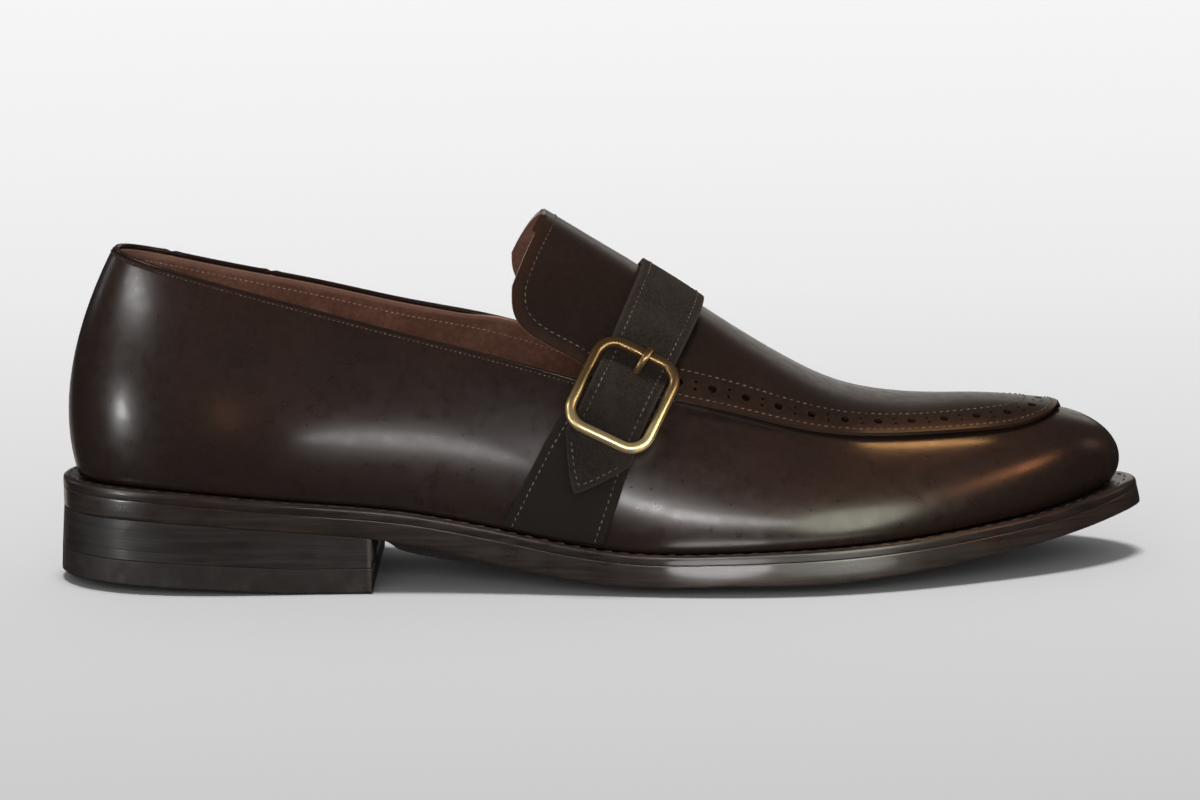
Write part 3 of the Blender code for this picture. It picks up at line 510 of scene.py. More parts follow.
def thicken(piece, thick, offset, rim=0):
    work(piece, "SOLIDIFY", thickness=thick * MM, offset=offset, use_quality_normals=True,
         material_offset_rim=rim)


def smooth_within(piece):
    """Smooth shading that stops at a real edge."""
    pick(piece)
    bpy.ops.object.shade_smooth_by_angle(angle=SMOOTH_ANGLE, keep_sharp_edges=False)


def round_edges(piece, width, segments):
    work(piece, "BEVEL", width=width * MM, segments=segments, limit_method="ANGLE",
         angle_limit=BEVEL_ANGLE)


def rows_normals(rows):
    """Unit normals of rows of points."""
    normal = np.cross(np.gradient(rows, axis=0), np.gradient(rows, axis=1))
    return normal / np.maximum(np.linalg.norm(normal, axis=2, keepdims=True), 1e-9)


def rod(name, path, radius, up=(0.0, 0.0, 1.0), flat=1.0, sides=14, closed=False):
    """A round bar along a path, flattened by a factor across it; open ends are domed."""
    path = np.asarray(path, float)
    radius = np.broadcast_to(np.asarray(radius, float), len(path)).copy()
    if closed:
        ahead = np.roll(path[:-1], -1, axis=0) - np.roll(path[:-1], 1, axis=0)
        ahead = np.vstack([ahead, ahead[:1]])
    else:
        first = path[0] + unit(path[0] - path[1]) * radius[0] * (1.0 - DOME[:, :1])
        last = path[-1] + unit(path[-1] - path[-2]) * radius[-1] * (1.0 - DOME[:, :1])
        path = np.vstack([first, path, last[::-1]])
        radius = np.concatenate([DOME[:, 1] * radius[0], radius, (DOME[:, 1] * radius[-1])[::-1]])
        ahead = np.gradient(path, axis=0)
    ahead = unit(ahead)
    side = unit(np.cross(np.broadcast_to(up, ahead.shape), ahead))
    over = np.cross(ahead, side)
    turn = np.linspace(0.0, 2.0 * math.pi, sides + 1)[None, :, None]
    rows = (path[:, None] + side[:, None] * np.cos(turn) * radius[:, None, None] * flat
            - over[:, None] * np.sin(turn) * radius[:, None, None])
    piece = leather(name, rows)
    close_and_face_out(piece)
    return piece


def close_and_face_out(piece):
    """Fills a tube's open ends and turns all faces outwards."""
    pick(piece)
    bpy.ops.object.mode_set(mode="EDIT")
    bpy.ops.mesh.select_all(action="DESELECT")
    bpy.ops.mesh.select_non_manifold(extend=False, use_wire=False, use_multi_face=False,
                                     use_non_contiguous=False, use_verts=False)
    bpy.ops.mesh.fill_holes(sides=0)
    edit(piece, bpy.ops.mesh.normals_make_consistent, inside=False)


def resample(points, pitch):
    """Evenly spaced places along a run of points, and the run's direction at each."""
    points = np.asarray(points, float)
    travel = travel_along(points)
    count = max(int(round(travel[-1] / pitch)), 2)
    at = (np.arange(count) + 0.5) * travel[-1] / count
    ahead = (on_run(at + DIRECTION_REACH, travel, points)
             - on_run(at - DIRECTION_REACH, travel, points))
    return on_run(at, travel, points), unit(ahead)


def skin_of(piece):
    """A look-up of the nearest place on a piece's surface, in millimetres, and its normal."""
    tree = BVHTree.FromPolygons([v.co.copy() for v in piece.data.vertices],
                                [tuple(p.vertices) for p in piece.data.polygons])

    def nearest(points):
        found = [tree.find_nearest(Vector(point)) for point in put(points)]
        spots = np.array([f[0] for f in found]) / MM + CENTRE
        return spots, np.array([f[1] for f in found])

    return nearest


def stitches(name, run, outward, pitch, share=0.72, width=0.45, height=0.34, slant=6.0):
    """A row of stitches: one is modelled, and the rest are copies of it along the run.

    outward gives the leather's normals at the stitches' places.
    """
    half = pitch * share / 2.0
    deselect()
    bpy.ops.mesh.primitive_uv_sphere_add(segments=8, ring_count=5, radius=1.0,
                                         rotation=(0, math.pi / 2, 0))
    bpy.ops.object.transform_apply(location=False, rotation=True, scale=False)
    model = bpy.context.object
    edit(model, bpy.ops.transform.resize, value=(half, width / 2.0, height))
    shape = corners(model)
    faces = [tuple(p.vertices) for p in model.data.polygons]
    bpy.data.objects.remove(model, do_unlink=True)
    shape[:, 2] -= (shape[:, 0] / half) ** 2 * height * 0.5 + THREAD_SINK
    spots, ahead = resample(run, pitch)
    normals = outward(spots)
    side = unit(np.cross(normals, ahead))
    ahead = np.cross(side, normals)
    across, along = math.sin(math.radians(slant)), math.cos(math.radians(slant))
    axes = np.stack([ahead * along + side * across, side * along - ahead * across, normals], 1)
    points = spots[:, None] + shape @ axes
    every = [tuple(c + len(shape) * k for c in face) for k in range(len(spots)) for face in faces]
    mesh = bpy.data.meshes.new(name)
    mesh.from_pydata([tuple(p) for p in put(points.reshape(-1, 3))], [], every)
    row = new_object(name, mesh)
    pick(row)
    bpy.ops.object.shade_smooth()
    return row


def sew(name, skin, line, pitch, slot, thread, **size):
    """Stitches along a line on the surface of a piece, and their finish."""
    row = stitches(name, skin(line)[0], lambda spots: skin(spots)[1], pitch, **size)
    dress(row, None, thread)


# ---------------------------------------------------------------- the strap's lines on the last

NORMAL_BLUR = (0.06, 0.24, 0.4, 0.24, 0.06)
BISECTIONS = 26
AXIS_REACH = 9.0


def raised(plan, height):
    return np.concatenate([plan, np.asarray(height)[..., None]], -1)


def side_surface(side, station, t):
    """The last's surface on one side: t is 0 to 1 up the wall and 1 to 2 on to the ridge."""
    spot = place(station, side)
    low = wall(spot, np.clip(t, 0.0, 1.0))
    edge = wall(spot, np.ones_like(t))
    other = wall(place(station, -side), np.ones_like(t))
    share = np.clip(t - 1.0, 0.0, 1.0) / 2.0
    plan = edge[..., :2] * (1.0 - share[..., None]) + other[..., :2] * share[..., None]
    fix = edge[..., 2] - top_height(edge[..., 0], edge[..., 1])
    height = top_height(plan[..., 0], plan[..., 1]) + fix * (1.0 - 2.0 * share)
    high = raised(plan, height)
    return np.where((t > 1.0)[..., None], high, low)


def strap_plane(points):
    """Signed distance in front of the strap's middle plane, seen from the side."""
    lean = np.array([math.cos(STRAP_LEAN), 0.0, -math.sin(STRAP_LEAN)])
    return (points - np.array([STRAP_RIDGE[0], 0.0, STRAP_RIDGE[1]])) @ lean


def strap_line(side, offset, t):
    """Points of the last at one distance from the strap's middle plane, for each t."""
    low, high = (np.full(len(t), section) for section in STRAP_SECTIONS)
    for _ in range(BISECTIONS):
        middle = (low + high) / 2.0
        behind = strap_plane(side_surface(side, middle, t)) < offset
        low = np.where(behind, middle, low)
        high = np.where(behind, high, middle)
    return side_surface(side, (low + high) / 2.0, t)


def strap_course(offset):
    """One long line of the strap from the inner welt, over the ridge, to the outer welt.

    Returns the points, the outward normals, and the distance above the buckle's bar.
    """
    t = np.linspace(0.0, 2.0, 81)
    lines = []
    for shift in (offset - 0.5, offset, offset + 0.5):
        inner = strap_line(1, shift, t)
        outer = strap_line(-1, shift, t)[::-1][1:]
        lines.append(np.concatenate([inner, outer]))
    points = lines[1]
    forward = lines[2] - lines[0]
    onward = np.gradient(points, axis=0)
    normal = unit(softened(unit(np.cross(onward, forward)), NORMAL_BLUR))
    travel = travel_along(points)
    outer_side = np.arange(len(points)) >= len(t)
    drop = np.where(outer_side, points[:, 2] + 0.5 * strap_plane(points), 1e6)
    bar = np.interp(-BUCKLE_HEIGHT, -drop[len(t):], travel[len(t):])
    return points, normal, bar - travel


def lay(course, above, lift):
    """Points at distances above the bar and lifts off the last, on one line of the strap."""
    points, normal, distance = course
    order = np.argsort(distance)
    at, up = (on_run(above, distance[order], values[order]) for values in (points, normal))
    return at + up * np.asarray(lift)[..., None]


def buckle_frame_axes():
    """The bar's middle on the last, and the directions across, up the strap and outward."""
    def spot(offset, above):
        return lay(strap_course(offset), np.array([above]), np.zeros(1))[0]

    up = unit(spot(0.0, AXIS_REACH) - spot(0.0, -AXIS_REACH))
    across = spot(AXIS_REACH, 0.0) - spot(-AXIS_REACH, 0.0)
    across = unit(across - up * (across @ up))
    out = np.cross(across, up)
    return spot(0.0, 0.0), across, up, -out if out[1] > 0 else out


def buckle_point(axes, across, above, lift):
    middle, side, up, out = axes
    across, above, lift = np.broadcast_arrays(np.asarray(across, float), above, lift)
    return middle + side * across[..., None] + up * above[..., None] + out * lift[..., None]


def near_buckle(axes, course, across, above, lift):
    """Over the last away from the buckle, and true to the buckle's own plane beside its bar."""
    over_last = lay(course, above, lift)
    in_plane = buckle_point(axes, across, above, lift)
    share = ease((FLAT_REACH - np.abs(above)) / FLAT_EASE)[..., None]
    return over_last * (1.0 - share) + in_plane * share


def strap_edge(across):
    """How far below the bar the strap runs, by its share of the half width: a blunt point."""
    return -FRAME_ALONG / 2.0 - TIP_START - TIP_LENGTH * (1.0 - abs(across) ** TIP_BLUNTNESS)


def strap_end(offset, side):
    """Distance above the bar at which a line of the strap meets the feather edge on one side."""
    ends = [course[2].max() if side > 0 else course[2].min() for _, course in STRAP_LINES]
    return np.interp(offset, [place_across for place_across, _ in STRAP_LINES], ends)


# ---------------------------------------------------------------- upper and lining

SECTION_STEPS = 14
WALL_FINE = 40
TOP_FINE = 26
THROAT_STATION = 7
OUTER_LEATHER = 1.25
LINING_LEATHER = 0.9
ROLL_RADIUS = 0.6
ROLL_PLEATS = (31.0, 59.0)
ROLL_STEP = 0.6
QUARTER_DROP = 0.75
LINING_DROP = 0.9
TOP_SHARE = 0.02
TOPLINE_SEAM = 1.15
LINING_SEAM = 6.5
THROAT_LIP = (112.0, 14.0, 1.5)


def ring(per_section):
    """Stations once round the loop and their places on it: heel, outer side, toe, inner side."""
    turn = np.linspace(0.0, 2.0, 2 * (ROWS - 1) * per_section + 1)
    station = (ROWS - 1.0) * (1.0 - np.abs(1.0 - turn))
    return station, np.where(turn <= 1.0, place(station, -1), place(station, 1))


def front_stations(per_section):
    """Stations from the throat to the toe."""
    count = (ROWS - 1 - THROAT_STATION) * per_section + 1
    return np.linspace(THROAT_STATION, ROWS - 1.0, count)


def wall_below(spot, drop):
    """How high up the wall, from 0 to 1, a distance below its top edge is."""
    ones = np.ones(len(spot))
    reach = np.linalg.norm(wall(spot, ones) - wall(spot, ones - TOP_SHARE), axis=1)
    return 1.0 - TOP_SHARE * drop / reach


def upper_sheet(name, top_drop, per_section=SECTION_STEPS, steps=WALL_FINE):
    """The wall all round and the vamp under the apron, as one sheet on the last's surface."""
    station, spot = ring(per_section)
    drop = top_drop(spot) * ease((THROAT_STATION - station) / 0.3)
    sides = wall(spot[:, None], wall_below(spot, drop)[:, None] * np.linspace(0.0, 1.0, steps + 1))
    sheet = leather(name, sides)
    across = np.linspace(-1.0, 1.0, TOP_FINE + 1)
    top = leather(name + "_top", vamp_rows(front_stations(per_section), across))
    sheet = join([sheet, top])
    merge(sheet)
    return sheet


def make_upper():
    quarters = upper_sheet("quarters_and_vamp", lambda spot: QUARTER_DROP)
    thicken(quarters, OUTER_LEATHER, -1.0)
    dress(quarters, "upper", POLISHED)

    lining = upper_sheet("quarter_lining", lining_drop, 8, 26)
    work(lining, "DISPLACE", strength=-(OUTER_LEATHER + 0.05) * MM, mid_level=0.0)
    thicken(lining, LINING_LEATHER, -1.0)
    dress(lining, "upper", LINING)

    station, spot = ring(SECTION_STEPS)
    back = np.where(station <= THROAT_STATION + 0.2)[0]
    heel = len(spot) // 2
    rounded = spot[np.concatenate([back[back > heel], back[back < heel][1:]])]
    edge = wall(rounded, np.ones(len(rounded)))
    inward = -outline(rounded)[1]
    edge[:, :2] += inward * (ROLL_RADIUS + 0.1)
    edge[:, 2] -= ROLL_RADIUS
    edge, _ = resample(edge, ROLL_STEP)
    radius = np.full(len(edge), ROLL_RADIUS)
    # A pleat is pinched in its middle and full beside it.
    for pleat in ROLL_PLEATS:
        off = np.hypot(edge[:, 0] - pleat, np.where(edge[:, 1] > 0.0, 0.0, 99.0))
        radius *= 1.0 - 0.45 * np.exp(-(off / 0.7) ** 2) + 0.22 * np.exp(-((off - 1.6) / 0.9) ** 2)
    roll = rod("topline_roll", edge, radius, sides=16)
    dress(roll, "upper", POLISHED)

    for name, sheet, drop, inwards, pitch, slot, thread, share, width in (
            ("topline_stitches", quarters, TOPLINE_SEAM, -1.0, 1.35, "polished_leather",
             EDGE_THREAD, 0.55, 0.4),
            ("lining_stitches", lining, LINING_SEAM, 6.0, 1.6, "lining_leather",
             LINING_THREAD, 0.72, 0.42)):
        seam = wall(rounded, wall_below(rounded, drop))
        seam[:, :2] += inward * inwards
        sew(name, skin_of(sheet), seam, pitch, slot, thread, share=share, width=width, height=0.3)


def lining_drop(spot):
    """The lining's edge below the topline; beside the throat it stands up as a lip."""
    along = wall(spot, np.ones(len(spot)))[:, 0]
    place_of, ease_over, rise = THROAT_LIP
    return LINING_DROP - rise * ease((along - place_of) / ease_over)


# ---------------------------------------------------------------- apron and tongue

APRON_TOP = 2.05
TONGUE_SEAM = 3.4
OUTER_SEAM = 1.5
INNER_SEAM = 8.9
PUNCH_LINE = 5.2
PUNCH_PITCH = 9.7
BIG_PUNCH = 1.25
SMALL_PUNCH = 0.5
PAIR_SPREAD = 1.15
CORNER_COLUMN = 7
TONGUE_DEPTH = 16
CORNER_REACH = 19
APRON_COLUMNS = 64
TONGUE_STEPS = 44
APRON_UNDER = 0.85
APRON_PITCH = 2.0
TONGUE_LINING_WALL = 0.45
PUNCHED_FROM = 150.0
SEAMS_MEET = 158.0
TONGUE_LINING_TO = 176.0
SEAM_BLUR = (0.0625, 0.25, 0.375, 0.25, 0.0625)


def apron_rows():
    across = np.linspace(-1.0, 1.0, APRON_COLUMNS + 1)
    tongue = tongue_rows(np.linspace(0.0, TONGUE["step"][-1], TONGUE_STEPS), across)
    for j in range(tongue.shape[1]):
        travel = travel_along(tongue[:, j])
        tongue[:, j] = on_run(np.linspace(0.0, travel[-1], len(tongue)), travel, tongue[:, j])
    rows = np.concatenate([tongue, vamp_rows(front_stations(SECTION_STEPS), across)])
    normals = rows_normals(rows)
    normals[-1] = normals[-2].mean(axis=0)
    return rows, normals


def edge_distance(rows, rim):
    """How far each point of a sheet lies from the points of its cut edge."""
    far = np.full(rows.shape[:2], 1e9)
    for point in rim:
        far = np.minimum(far, np.linalg.norm(rows - point, axis=2))
    return far


def inset_line(rows, far, distance, toe):
    """The line on the sheet at a distance from its edge: round the toe, or round the tongue."""
    middle = rows.shape[1] // 2
    half = len(rows) // 2
    index = np.arange(len(rows))
    if toe:
        reach = middle + 1
        chosen = np.where(far[:, middle] > distance)[0]
        chosen = chosen[chosen > half // 2]
        last = chosen[-1]
        share = (far[last, middle] - distance) / (far[last, middle] - far[last + 1, middle])
        across = [rows[last, middle] * (1 - share) + rows[last + 1, middle] * share]
    else:
        reach = CORNER_REACH
        chosen = np.where(far[:half, CORNER_COLUMN] > distance)[0][::-1]
        across = []
        for j in range(CORNER_COLUMN, rows.shape[1] - CORNER_COLUMN):
            crossing = np.interp(distance, far[:TONGUE_DEPTH, j], index[:TONGUE_DEPTH])
            across.append(on_run(crossing, index, rows[:, j]))
    lateral, medial = (
        [on_run(np.interp(distance, far[i, side][:reach], index[:reach]), index[:middle + 1],
                rows[i, side]) for i in chosen]
        for side in (slice(0, middle + 1), slice(None, middle - 1, -1)))
    line = np.array(lateral + across + medial[::-1])
    travel = travel_along(line)
    line = on_run(np.linspace(0.0, travel[-1], int(travel[-1])), travel, line)
    for _ in range(3):
        line = softened(line, SEAM_BLUR)
    return line


def punch_cutter(line, nearest):
    """Round cutters for the brogue holes: large ones in a row, and a pair between each two."""
    spots, ahead = resample(line, PUNCH_PITCH / 2.0)
    spots, normals = nearest(spots)
    side = np.cross(normals, ahead) * PAIR_SPREAD
    punches = []
    for i, (spot, normal, away) in enumerate(zip(spots, normals, side)):
        turn = Vector(normal).to_track_quat("Z", "Y").to_euler()
        radius, sides, places = ((BIG_PUNCH, 20, [spot]) if i % 2 else
                                 (SMALL_PUNCH, 12, [spot - away, spot + away]))
        for at in places:
            bpy.ops.mesh.primitive_cylinder_add(vertices=sides, radius=radius * MM, depth=3.0 * MM,
                                                location=put(at), rotation=turn)
            punches.append(bpy.context.object)
    return join(punches)


def make_apron():
    rows, normals = apron_rows()
    far = edge_distance(rows, np.concatenate([rows[0], rows[:, 0], rows[:, -1]]))
    apron = leather("apron_and_tongue", rows + normals * APRON_UNDER, {"to_edge": far})
    thicken(apron, APRON_TOP - APRON_UNDER, 1.0, rim=1)
    smooth_within(apron)
    apron.data.materials.append(APRON_CALF)
    apron.data.materials.append(CUT_EDGE)
    surface = skin_of(apron)
    outside = rows + normals * APRON_TOP
    punch_line = inset_line(outside, far, PUNCH_LINE, True)
    punch = punch_cutter(punch_line[punch_line[:, 0] > PUNCHED_FROM], surface)
    work(apron, "BOOLEAN", operation="DIFFERENCE", solver="EXACT", object=punch)
    bpy.data.objects.remove(punch, do_unlink=True)
    dress(apron, "apron")

    steps = int(np.argmax(rows[:, rows.shape[1] // 2, 0] > TONGUE_LINING_TO))
    lining = leather("tongue_lining", (rows + normals * APRON_LIFT)[:steps],
                     {"to_edge": far[:steps]})
    thicken(lining, TONGUE_LINING_WALL, 1.0)
    dress(lining, "apron", LINING)

    for name, distance, toe in (("apron_outer_stitches", OUTER_SEAM, True),
                                ("apron_inner_stitches", INNER_SEAM, True),
                                ("tongue_stitches", TONGUE_SEAM, False)):
        line = inset_line(outside, far, distance, toe)
        line = line[(line[:, 0] > SEAMS_MEET) == toe]
        sew(name, surface, line, APRON_PITCH, "polished_leather", THREAD)


# ---------------------------------------------------------------- strap, tab and buckle

STRAP_LINES = []
STRAP_COLUMNS = 22
STRAP_SEAM = 2.4
STRAP_STEPS = (120, 52, 22)
SUEDE_PITCH = 1.9
SEAM_ABOVE = -13.0
TAB_STEPS = 46
TAB_RISE = [(-8.0, 1.6), (-5.2, 3.3)]
PRONG_REACH = 0.96


def strap_sheet(above, lift, offset):
    """Points of a strip over the last; each argument has a row for each height."""
    places = np.array([where for where, _ in STRAP_LINES])
    index = np.arange(len(above))
    grid = np.zeros(above.shape + (3,))
    for c in range(above.shape[1]):
        every = np.array([near_buckle(AXES, course, where, above[:, c], lift[:, c])
                          for where, course in STRAP_LINES])
        right = np.clip(np.searchsorted(places, offset[:, c]), 1, len(places) - 1)
        share = ((offset[:, c] - places[right - 1]) / (places[right] - places[right - 1]))[:, None]
        grid[:, c] = every[right - 1, index] * (1 - share) + every[right, index] * share
    return grid


def seam_beside(rows, side):
    """A line on a strip's rows beside its back (-1) or front (1) edge."""
    return np.array([on_run(STRAP_SEAM, travel_along(row), row) for row in rows[:, ::-side]])


def sew_suede(name, surface, line):
    sew(name, surface, line, SUEDE_PITCH, "suede", STRAP_THREAD, width=0.42, height=0.3)


def strap_rows():
    above, lifts, offsets = [], [], []
    for share in np.linspace(-0.5, 0.5, STRAP_COLUMNS + 1):
        start = strap_end(share * STRAP_WIDTH, 1) - END_CLEAR
        stops = (start, *NEAR_BUCKLE, strap_edge(share * 2.0))
        runs = [np.linspace(*stops[k:k + 2], STRAP_STEPS[k]) for k in range(3)]
        column = np.concatenate([runs[0][:-1], runs[1], runs[2][1:]])
        low = ease((column - start + INNER_END) / INNER_END_EASE)
        lift, width, shift = run_curve(column).T
        above.append(column)
        lifts.append(lift * (1.0 - low) + APRON_LIFT * low)
        offsets.append(share * width + shift)
    above, lifts, offsets = (np.stack(values, 1) for values in (above, lifts, offsets))
    return strap_sheet(above, lifts, offsets), above


def make_strap():
    rows, above = strap_rows()
    middle = rows.shape[1] // 2
    normals = rows_normals(rows)
    normals *= np.sign(normals[len(rows) // 2, middle, 2])
    far = edge_distance(rows, np.concatenate([rows[:, 0], rows[:, -1], rows[-1]]))
    strap = leather("strap_suede", rows, {"to_edge": far})
    edit(strap, bpy.ops.mesh.normals_make_consistent, inside=False)
    if sum(face.normal.z for face in strap.data.polygons) < 0:
        edit(strap, bpy.ops.mesh.flip_normals)
    thicken(strap, STRAP_WALL, 1.0)
    round_edges(strap, 0.35, 3)
    dress(strap, "strap", SUEDE)
    surface = skin_of(strap)
    outside = rows + normals * STRAP_WALL
    for side, name in ((-1, "strap_back_stitches"), (1, "strap_front_stitches")):
        line = seam_beside(outside, side)[above[:, middle] > SEAM_ABOVE]
        sew_suede(name, surface, line)
    tip_line = []
    for share in np.linspace(-1.0, 1.0, 41):
        column = share * 0.5 * (1.0 - 2.0 * STRAP_SEAM / STRAP_WIDTH) + 0.5
        run = outside[::-1, int(np.rint(column * STRAP_COLUMNS))]
        tip_line.append(on_run(STRAP_SEAM * 1.15, travel_along(run), run))
    sew_suede("strap_tip_stitches", surface, np.array(tip_line))


def make_tab():
    wrap = BAR_RADIUS + GAP + TAB_WALL / 2.0
    turn = np.radians(np.linspace(100.0, -120.0, 20))
    rise = np.array(TAB_RISE + [(-2.7, BAR_LIFT + wrap - 0.9)])
    above, lifts, offsets = [], [], []
    for share in np.linspace(0.0, 1.0, 19):
        foot = share * TAB["front"][0] - (1.0 - share) * TAB["rear"][0]
        climb = np.linspace(strap_end(foot, -1) + END_CLEAR, TAB_CLIMB_END, TAB_STEPS)
        column = np.concatenate([climb, rise[:, 0], wrap * np.cos(turn)])
        above.append(column)
        offsets.append(share * np.interp(column, TAB["above"], TAB["front"])
                       - (1.0 - share) * np.interp(column, TAB["above"], TAB["rear"]))
        lifts.append(np.concatenate([np.full(TAB_STEPS, APRON_LIFT + TAB_WALL / 2.0), rise[:, 1],
                                     BAR_LIFT + wrap * np.sin(turn)]))
    rows = strap_sheet(*(np.stack(values, 1) for values in (above, lifts, offsets)))
    tab = leather("strap_tab_suede", rows)
    thicken(tab, TAB_WALL, 0.0)
    round_edges(tab, 0.25, 2)
    dress(tab, "strap_base", TAB_SUEDE)
    surface = skin_of(tab)
    normals = rows_normals(rows)
    normals *= -np.sign(normals[10, 9, 1])
    outside = (rows + normals * TAB_WALL / 2.0)[:TAB_STEPS]
    for side, name in ((-1, "tab_back_stitches"), (1, "tab_front_stitches")):
        sew_suede(name, surface, seam_beside(outside, side))


def make_buckle():
    half_across = FRAME_ACROSS / 2.0 - FRAME_CORNER
    half_along = FRAME_ALONG / 2.0 - FRAME_CORNER
    out = AXES[3]
    ring_points = []
    for quarter, x, y in ((0, 1, 1), (1, -1, 1), (2, -1, -1), (3, 1, -1)):
        turn = np.radians(np.linspace(90.0 * quarter, 90.0 * quarter + 90.0, 17))
        ring_points.append(np.stack([x * half_across + FRAME_CORNER * np.cos(turn),
                                     y * half_along + FRAME_CORNER * np.sin(turn)], 1))
    ring_points = np.concatenate(ring_points + [ring_points[0][:1]]) + FRAME_SHIFT
    path = buckle_point(AXES, ring_points[:, 0], ring_points[:, 1], FRAME_LIFT)
    wire = rod("buckle_frame_brass", path, FRAME_WIRE, up=out, sides=24, closed=True)
    low, high = np.array([-0.5, 0.5]) * FRAME_ACROSS + FRAME_SHIFT[0]
    drop = buckle_point(AXES, [low, low + 0.1, high - 0.1, high], 0.0,
                        np.array([FRAME_LIFT - 0.2, BAR_LIFT, BAR_LIFT, FRAME_LIFT - 0.2]))
    wire = join([wire, rod("buckle_bar", drop, BAR_RADIUS, up=AXES[2])])
    dress(wire, "buckle_frame", BRASS)

    hook = BAR_RADIUS + GAP + PRONG_RADIUS
    turn = np.radians(np.linspace(-150.0, -270.0, 15))
    course = np.vstack([np.stack([hook * np.cos(turn), BAR_LIFT + hook * np.sin(turn)], 1),
                        np.stack([PRONG["above"], PRONG["lift"]], 1)])
    travel = travel_along(course)
    course = smooth_curve(travel, course)(np.linspace(0.0, travel[-1] * PRONG_REACH, 60))
    aside = PRONG_TURN * np.maximum(course[:, 0], 0.0)
    prong = rod("buckle_prong_brass", buckle_point(AXES, aside, course[:, 0], course[:, 1]),
                PRONG_RADIUS * 0.9, up=out, flat=PRONG_FLATNESS, sides=16)
    dress(prong, "buckle_prong", BRASS)


# ---------------------------------------------------------------- welt, sole and heel

JOINT = 0.03
WELT_SEAM = 0.42
WELT_PITCH = 4.6
HEEL_STEPS = 90
TREAD_FACING = -0.8
# The welt's section: how far out of the rim and how far below the deck each corner is.
WELT_EDGE = [(-1.9, 0.0), (-1.15, 0.02), (-0.55, 0.16), (-0.16, 0.5), (0.0, 1.0), (0.02, 1.6),
             (0.0, WELT_THICK - 0.3), (-0.03, WELT_THICK - 0.1), (-0.13, WELT_THICK),
             (-2.0, WELT_THICK)]
WORN_FROM = 284.0
WORN_OVER = 16.0
ROUNDING = 1.2
SOLE_PROFILE = [(0.0, -0.12), (0.02, -0.03), (0.05, 0.0), (0.1, 0.01), (0.5, 0.03), (0.85, 0.01),
                (0.92, -0.02), (0.97, -0.1), (1.0, -0.3)]
GROOVE = [(-0.04, 0.0), (-0.02, 0.0), (-0.009, 0.006), (0.0, 0.035), (0.009, 0.006), (0.02, 0.0),
          (0.04, 0.0)]
SOCK_PROFILE = [(0.0, -0.5), (0.3, 0.0), (1.0, 0.0)]


def station_at(along, side):
    """The station at which the rim on one side is a way along the shoe."""
    reached = outline(place(fine, side))[0][:, 0]
    half = len(fine) // 2
    return np.interp(along, reached[:half], fine[:half])


def below(points, drop):
    """Points of the bed moved down by a thickness, square to it where the toe springs up."""
    lower = points.copy()
    lower[..., 0] += drop * TOE_SPRING * ease((points[..., 0] - SPRING_FROM) / SPRING_OVER)
    lower[..., 2] -= drop
    return lower


def make_welt():
    _, spot = ring(SECTION_STEPS)
    margin = loop_curve(spot)[..., MARGIN]
    rim, outward = outline(spot)
    inner = -(margin + WELT_TUCK - 1.0)
    section = [(inner, 0.0), (-(margin + 1.0), 0.0), (-margin * 0.75, 0.0), (-margin * 0.5, 0.0),
               *WELT_EDGE, (inner, WELT_THICK), (inner, 0.0)]
    worn = 1.0 + 0.5 * ease((rim[:, 0] - WORN_FROM) / WORN_OVER)
    rows = []
    for outset, drop in section:
        if drop <= 1.0:
            outset, drop = np.where(np.abs(outset) < ROUNDING, outset * worn, outset), drop * worn
        xy = rim + outward * np.broadcast_to(outset, margin.shape)[:, None]
        rows.append(below(raised(xy, deck(xy[:, 0], xy[:, 1])), drop))
    welt = leather("welt_strip", np.stack(rows, 1)[:, ::-1])
    close_and_face_out(welt)
    dress(welt, "welt", WELT)
    seam, _ = outline(spot, margin * WELT_SEAM)
    row = stitches("welt_stitches", raised(seam, deck(seam[:, 0], seam[:, 1])),
                   lambda spots: np.tile([0.0, 0.0, 1.0], (len(spots), 1)), WELT_PITCH,
                   share=0.84, width=0.52, height=0.3, slant=3.0)
    dress(row, None, WELT_THREAD)


def block(name, lateral, medial, top_drop, bottom_drop, profile, inset=0.0):
    """A closed block over the plan between two runs of stations.

    Its faces are drops below the welt's top, and its edge is a profile between them.
    """
    columns = 20
    lateral, out_lateral = outline(place(lateral, -1), inset)
    medial, out_medial = outline(place(medial, 1), inset)
    share = np.linspace(0.0, 1.0, columns + 1)[None, :, None]
    plan = lateral[:, None] * (1.0 - share) + medial[:, None] * share
    bed = deck(plan[..., 0], plan[..., 1])
    top, bottom = (np.broadcast_to(drop(plan, bed), bed.shape) for drop in (top_drop, bottom_drop))
    down, outset = np.array(profile).T

    def edge(column, outward):
        xy = plan[:, column][:, None] + outward[:, None] * outset[None, :, None]
        drop = top[:, column, None] * (1.0 - down) + bottom[:, column, None] * down
        return below(raised(xy, np.broadcast_to(bed[:, column, None], drop.shape)), drop)

    over, under = (below(raised(plan, bed), drop)[:, 1:-1] for drop in (top, bottom))
    section = np.concatenate([over, edge(-1, out_medial), under[:, ::-1],
                              edge(0, out_lateral)[:, ::-1], over[:, :1]], axis=1)
    section[..., 2] = np.maximum(section[..., 2], 0.0)
    piece = leather(name, section)
    close_and_face_out(piece)
    return piece


def tread(plan, bed):
    """The outsole's under face, proud of its edge where the waist is rounded."""
    off = np.abs(np.linspace(-1.0, 1.0, plan.shape[1]))
    edge, bulge = np.moveaxis(edge_curve(plan[..., 0]), -1, 0)
    waist = ease((plan[..., 0] - HEEL_LENGTH - BREAST_CLEAR) / BREAST_EASE)
    return edge + bulge * waist * (1.0 - off ** 3)


def heel_floor(plan, bed):
    """Down to the ground, with the back of the heel rising off it."""
    return bed - HEEL_RISE * np.maximum(1.0 - (plan[..., 0] / HEEL_FLAT) ** 2, 0.0)


